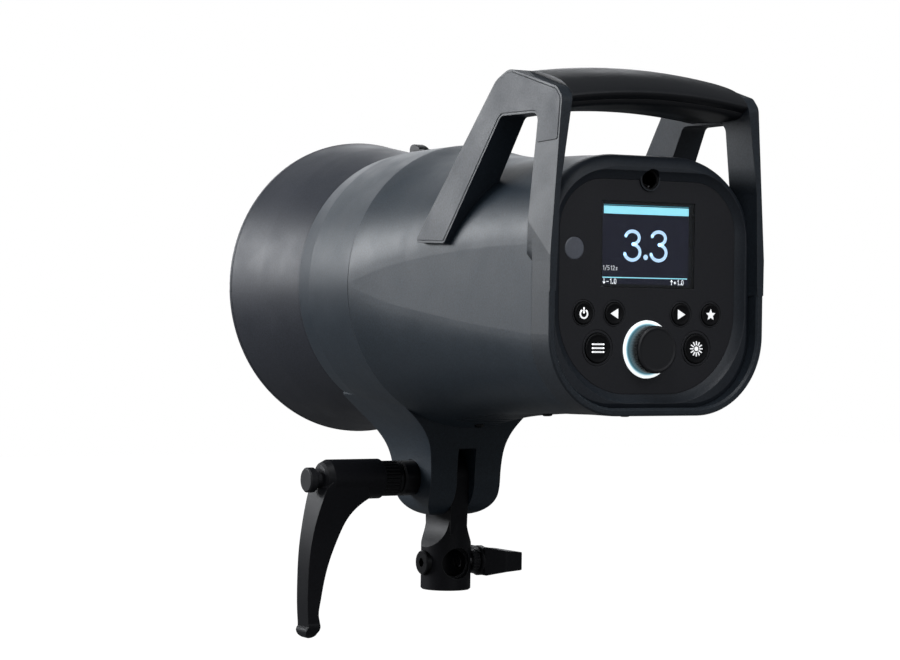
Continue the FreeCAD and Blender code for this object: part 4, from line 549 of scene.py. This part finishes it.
def display_picture():
    """A header bar, a large power value and small generic numbers."""
    screen_rectangle("display_picture", picture_blue, -27.8 * MM, 26.6 * MM, -20.6 * MM,
                     20.9 * MM, PICTURE_LIFT)
    screen_rectangle("display_header", header_cyan, BAR_LEFT, BAR_RIGHT, 15.9 * MM, 19.9 * MM,
                     MARK_LIFT)
    screen_rectangle("display_top_rule", rule_teal, BAR_LEFT, BAR_RIGHT, 20.3 * MM, 20.7 * MM,
                     MARK_LIFT)
    screen_rectangle("display_rule", header_cyan, -27.6 * MM, 26.0 * MM, -17.5 * MM,
                     -17.0 * MM, MARK_LIFT)
    digits = Plate(screen_centre, screen_face + MARK_LIFT, LAYER)
    for left in (-14.6 * MM, 2.0 * MM):
        for bowl in digit_three(11.3 * MM, 16.8 * MM):
            digits.stroke([(left + u, v - 8.9 * MM) for u, v in bowl], 1.75 * MM)
    digits.disc((-0.7 * MM, -6.4 * MM), 1.4 * MM)
    digits.piece("display_digits", digit_blue, "head")
    small = Plate(screen_centre, screen_face + MARK_LIFT, LAYER)
    write_small(small, "1/512s", -27.4 * MM, -13.4 * MM, 2.2 * MM, 0.22 * MM)
    write_small(small, ["down", "-", "1", ".", "0"], SMALL_LEFT, SMALL_LEVEL, 2.5 * MM,
                0.42 * MM)
    write_small(small, ["up", "+", "1", ".", "0"], SMALL_RIGHT, SMALL_LEVEL, 2.5 * MM,
                0.42 * MM)
    small.piece("display_small_marks", mark_white, "head")


display_picture()

ICON_SINK, ICON_THICKNESS = 0.12 * MM, 0.3 * MM


def icon_plate(node):
    low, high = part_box(node)
    centre = ((low.x + high.x) / 2, (low.z + high.z) / 2)
    return Plate(centre, high.y - ICON_SINK, ICON_THICKNESS)


def power_icon(icon):
    icon.stroke(arc((0, -0.35 * MM), 2.2 * MM, 130, 410, 34), 0.85 * MM)
    icon.stroke([(0, 2.7 * MM), (0, 0.2 * MM)], 0.85 * MM)


def arrow_icon(icon, sign):
    """A triangle that points left (-1) or right (1)."""
    reach, back, half = 2.6 * MM * sign, -2.1 * MM * sign, 2.6 * MM
    icon.outline([(reach, 0), (back, half), (back, -half)][::-sign])


def star_icon(icon):
    points = []
    for step in range(5):
        points.append(polar(3.1 * MM, 90 + 72 * step))
        points.append(polar(1.45 * MM, 126 + 72 * step))
    icon.outline(points)


def menu_icon(icon):
    for level in (2.0 * MM, 0, -2.0 * MM):
        icon.stroke([(-3.5 * MM, level), (3.5 * MM, level)], 0.8 * MM)


def sun_icon(icon):
    for angle in range(0, 360, 30):
        icon.stroke([polar(1.9 * MM, angle), polar(4.0 * MM, angle)], 0.62 * MM, False)
    icon.disc((0, 0), 1.2 * MM)


ICONS = [
    ("power", power_icon), ("left", lambda icon: arrow_icon(icon, -1)),
    ("right", lambda icon: arrow_icon(icon, 1)), ("star", star_icon), ("menu", menu_icon),
    ("test", sun_icon),
]
for key, draw in ICONS:
    icon = icon_plate(key + "_button")
    draw(icon)
    icon.piece(key + "_icon", mark_white, key + "_key")


def turned_piece(name, profile, place, direction, material, body, sides=24):
    """A small part turned from (radius, height) points, its axis along a direction."""
    made = bmesh.new()
    rings = []
    for radius, height in profile:
        rings.append([made.verts.new((radius * math.cos(2 * math.pi * k / sides),
                                      radius * math.sin(2 * math.pi * k / sides), height))
                      for k in range(sides)])
    for first, second in zip(rings, rings[1:]):
        for k in range(sides):
            after = (k + 1) % sides
            made.faces.new((first[k], first[after], second[after], second[k]))
    made.faces.new(rings[0][::-1])
    made.faces.new(rings[-1])
    bmesh.ops.recalc_face_normals(made, faces=made.faces)
    mesh = bpy.data.meshes.new(name)
    made.to_mesh(mesh)
    made.free()
    obj = bpy.data.objects.new(name, mesh)
    scene.collection.objects.link(obj)
    obj.location = place
    obj.rotation_mode = "QUATERNION"
    obj.rotation_quaternion = Vector(direction).to_track_quat("Z", "Y")
    mesh.materials.append(material)
    smooth(obj)
    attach(obj, body)
    return obj


# Domed screw heads with a round socket, on the underside's middle line.
SCREW_HEAD = [(1.2 * MM, 0.6 * MM), (1.4 * MM, 0.6 * MM), (1.4 * MM, 1.4 * MM),
              (2.1 * MM, 1.3 * MM), (2.7 * MM, 0.9 * MM), (2.9 * MM, 0.0), (2.9 * MM, -0.4 * MM)]
SCREW_STATIONS = (36.5 * MM, 110.0 * MM, 186.5 * MM)
housing = nodes["main_housing"]
for index, station in enumerate(SCREW_STATIONS):
    found, spot, normal, _ = housing.ray_cast(Vector((0, station, cad_low.z - 0.1)),
                                              Vector((0, 0, 1)))
    if found:
        turned_piece("underside_screw_%d" % (index + 1), SCREW_HEAD, spot, normal, black_steel,
                     "head")


def bent_wire(name, points, radius, material, body):
    """Round wire along a smooth path."""
    curve = bpy.data.curves.new(name, "CURVE")
    curve.dimensions = "3D"
    curve.bevel_depth = radius
    curve.bevel_resolution = 3
    curve.use_fill_caps = True
    line = curve.splines.new("NURBS")
    line.points.add(len(points) - 1)
    for point, place in zip(line.points, points):
        point.co = (*place, 1.0)
    line.order_u = 3
    line.use_endpoint_u = True
    holder = bpy.data.objects.new(name + "_path", curve)
    scene.collection.objects.link(holder)
    bpy.context.view_layer.update()
    mesh = bpy.data.meshes.new_from_object(holder)
    bpy.data.objects.remove(holder)
    mesh.name = name
    obj = add_object(name, mesh, material, body)
    smooth(obj)
    return obj


# The umbrella tube's friction spring, in millimetres: (depth from the mouth, drop).
SPRING_LINE = [(1.2, 3.6), (3.5, 2.9), (8.0, 1.9), (14.0, 3.0), (20.0, 3.6)]
tube_low, tube_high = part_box("umbrella_tube")
tube_level = (tube_low.z + tube_high.z) / 2
bent_wire("umbrella_spring",
          [(0, tube_high.y - depth * MM, tube_level - drop * MM) for depth, drop in SPRING_LINE],
          0.5 * MM, steel, "head")

# ----------------------------------------------------------------- floor

FLOOR_DROP, FLOOR_HALF_WIDTH = 0.25, 6.0
floor_mesh = bpy.data.meshes.new("floor")
made = bmesh.new()
bmesh.ops.create_grid(made, x_segments=8, y_segments=8, size=FLOOR_HALF_WIDTH)
made.to_mesh(floor_mesh)
made.free()
floor = bpy.data.objects.new("floor", floor_mesh)
scene.collection.objects.link(floor)
floor.location = (0, 0, cad_low.z - FLOOR_DROP)
floor_paint, floor_tree, floor_shader = new_material("floor_paint")
floor_noise = object_noise(floor_tree, 3.0, 3.0)
floor_tint = ramp(floor_tree, floor_noise.outputs["Fac"],
                  [(0.3, (0.15, 0.15, 0.15)), (0.7, (0.16, 0.16, 0.16))])
floor_tree.links.new(floor_tint.outputs["Color"], floor_shader.inputs["Base Color"])
floor_shader.inputs["Roughness"].default_value = 0.9
floor_shader.inputs["Emission Color"].default_value = (1.0, 1.0, 1.0, 1.0)
floor_rays = floor_tree.nodes.new("ShaderNodeLightPath")
floor_tree.links.new(floor_rays.outputs["Is Camera Ray"], floor_shader.inputs["Emission Strength"])
floor_mesh.materials.append(floor_paint)

# ---------------------------------------------------------- light, camera

# The camera sees plain white; the object is lit by a dimmer room.
ROOM_STRENGTH = 0.16
world = bpy.data.worlds.new("studio")
world.use_nodes = True
world_tree = world.node_tree
seen = world_tree.nodes["Background"]
seen.inputs["Color"].default_value = (1.0, 1.0, 1.0, 1.0)
seen.inputs["Strength"].default_value = 1.0
shed = world_tree.nodes.new("ShaderNodeBackground")
shed.inputs["Color"].default_value = (0.93, 0.97, 1.0, 1.0)
shed.inputs["Strength"].default_value = ROOM_STRENGTH
rays = world_tree.nodes.new("ShaderNodeLightPath")
either = world_tree.nodes.new("ShaderNodeMixShader")
world_tree.links.new(rays.outputs["Is Camera Ray"], either.inputs[0])
world_tree.links.new(shed.outputs["Background"], either.inputs[1])
world_tree.links.new(seen.outputs["Background"], either.inputs[2])
world_tree.links.new(either.outputs["Shader"],
                     world_tree.nodes["World Output"].inputs["Surface"])
scene.world = world
scene.view_settings.view_transform = "Standard"

middle = (cad_low + cad_high) / 2


def area_light(name, place, size, watts, colour):
    """A softbox that looks at the middle of the object."""
    lamp = bpy.data.lights.new(name, "AREA")
    lamp.shape = "RECTANGLE"
    lamp.size, lamp.size_y = size
    lamp.energy = watts
    lamp.color = colour
    obj = bpy.data.objects.new(name, lamp)
    scene.collection.objects.link(obj)
    obj.location = place
    obj.rotation_mode = "QUATERNION"
    obj.rotation_quaternion = (middle - Vector(place)).to_track_quat("-Z", "Y")


COOL_WHITE = (0.95, 0.97, 1.0)
area_light("key", (1.25, -1.05, 0.62), (1.2, 0.5), 23, COOL_WHITE)
area_light("back", (-0.5, -1.6, 0.85), (1.4, 0.6), 7.5, COOL_WHITE)
area_light("top", (0.6, 0.5, 1.7), (1.0, 0.8), 9, COOL_WHITE)
area_light("fill", (-0.1, 1.9, 1.0), (1.2, 1.2), 10, (0.94, 0.96, 1.0))

CAMERA_PLACE = Vector((0.77892, 1.33943, 0.16108))
LENS, SENSOR = 104.84, 36.0
camera_data = bpy.data.cameras.new("camera")
camera_data.lens = LENS
camera_data.sensor_width = SENSOR
camera_data.clip_start = 0.05
camera_data.clip_end = 50.0
camera = bpy.data.objects.new("camera", camera_data)
scene.collection.objects.link(camera)
# Radians: the view's turn from +Y, its rise, and the camera's roll.
turn, rise, roll = 0.527148, 0.0052705, 0.0135720
back = Vector((math.sin(turn) * math.cos(rise), math.cos(turn) * math.cos(rise),
               math.sin(rise)))
right = (-back).cross(Vector((0, 0, 1))).normalized()
up = right.cross(-back)
right_rolled = right * math.cos(roll) + up * math.sin(roll)
up_rolled = up * math.cos(roll) - right * math.sin(roll)
rotation = Matrix((right_rolled, up_rolled, back)).transposed()
camera.matrix_world = Matrix.LocRotScale(CAMERA_PLACE, rotation, None)
scene.camera = camera

bpy.context.view_layer.update()
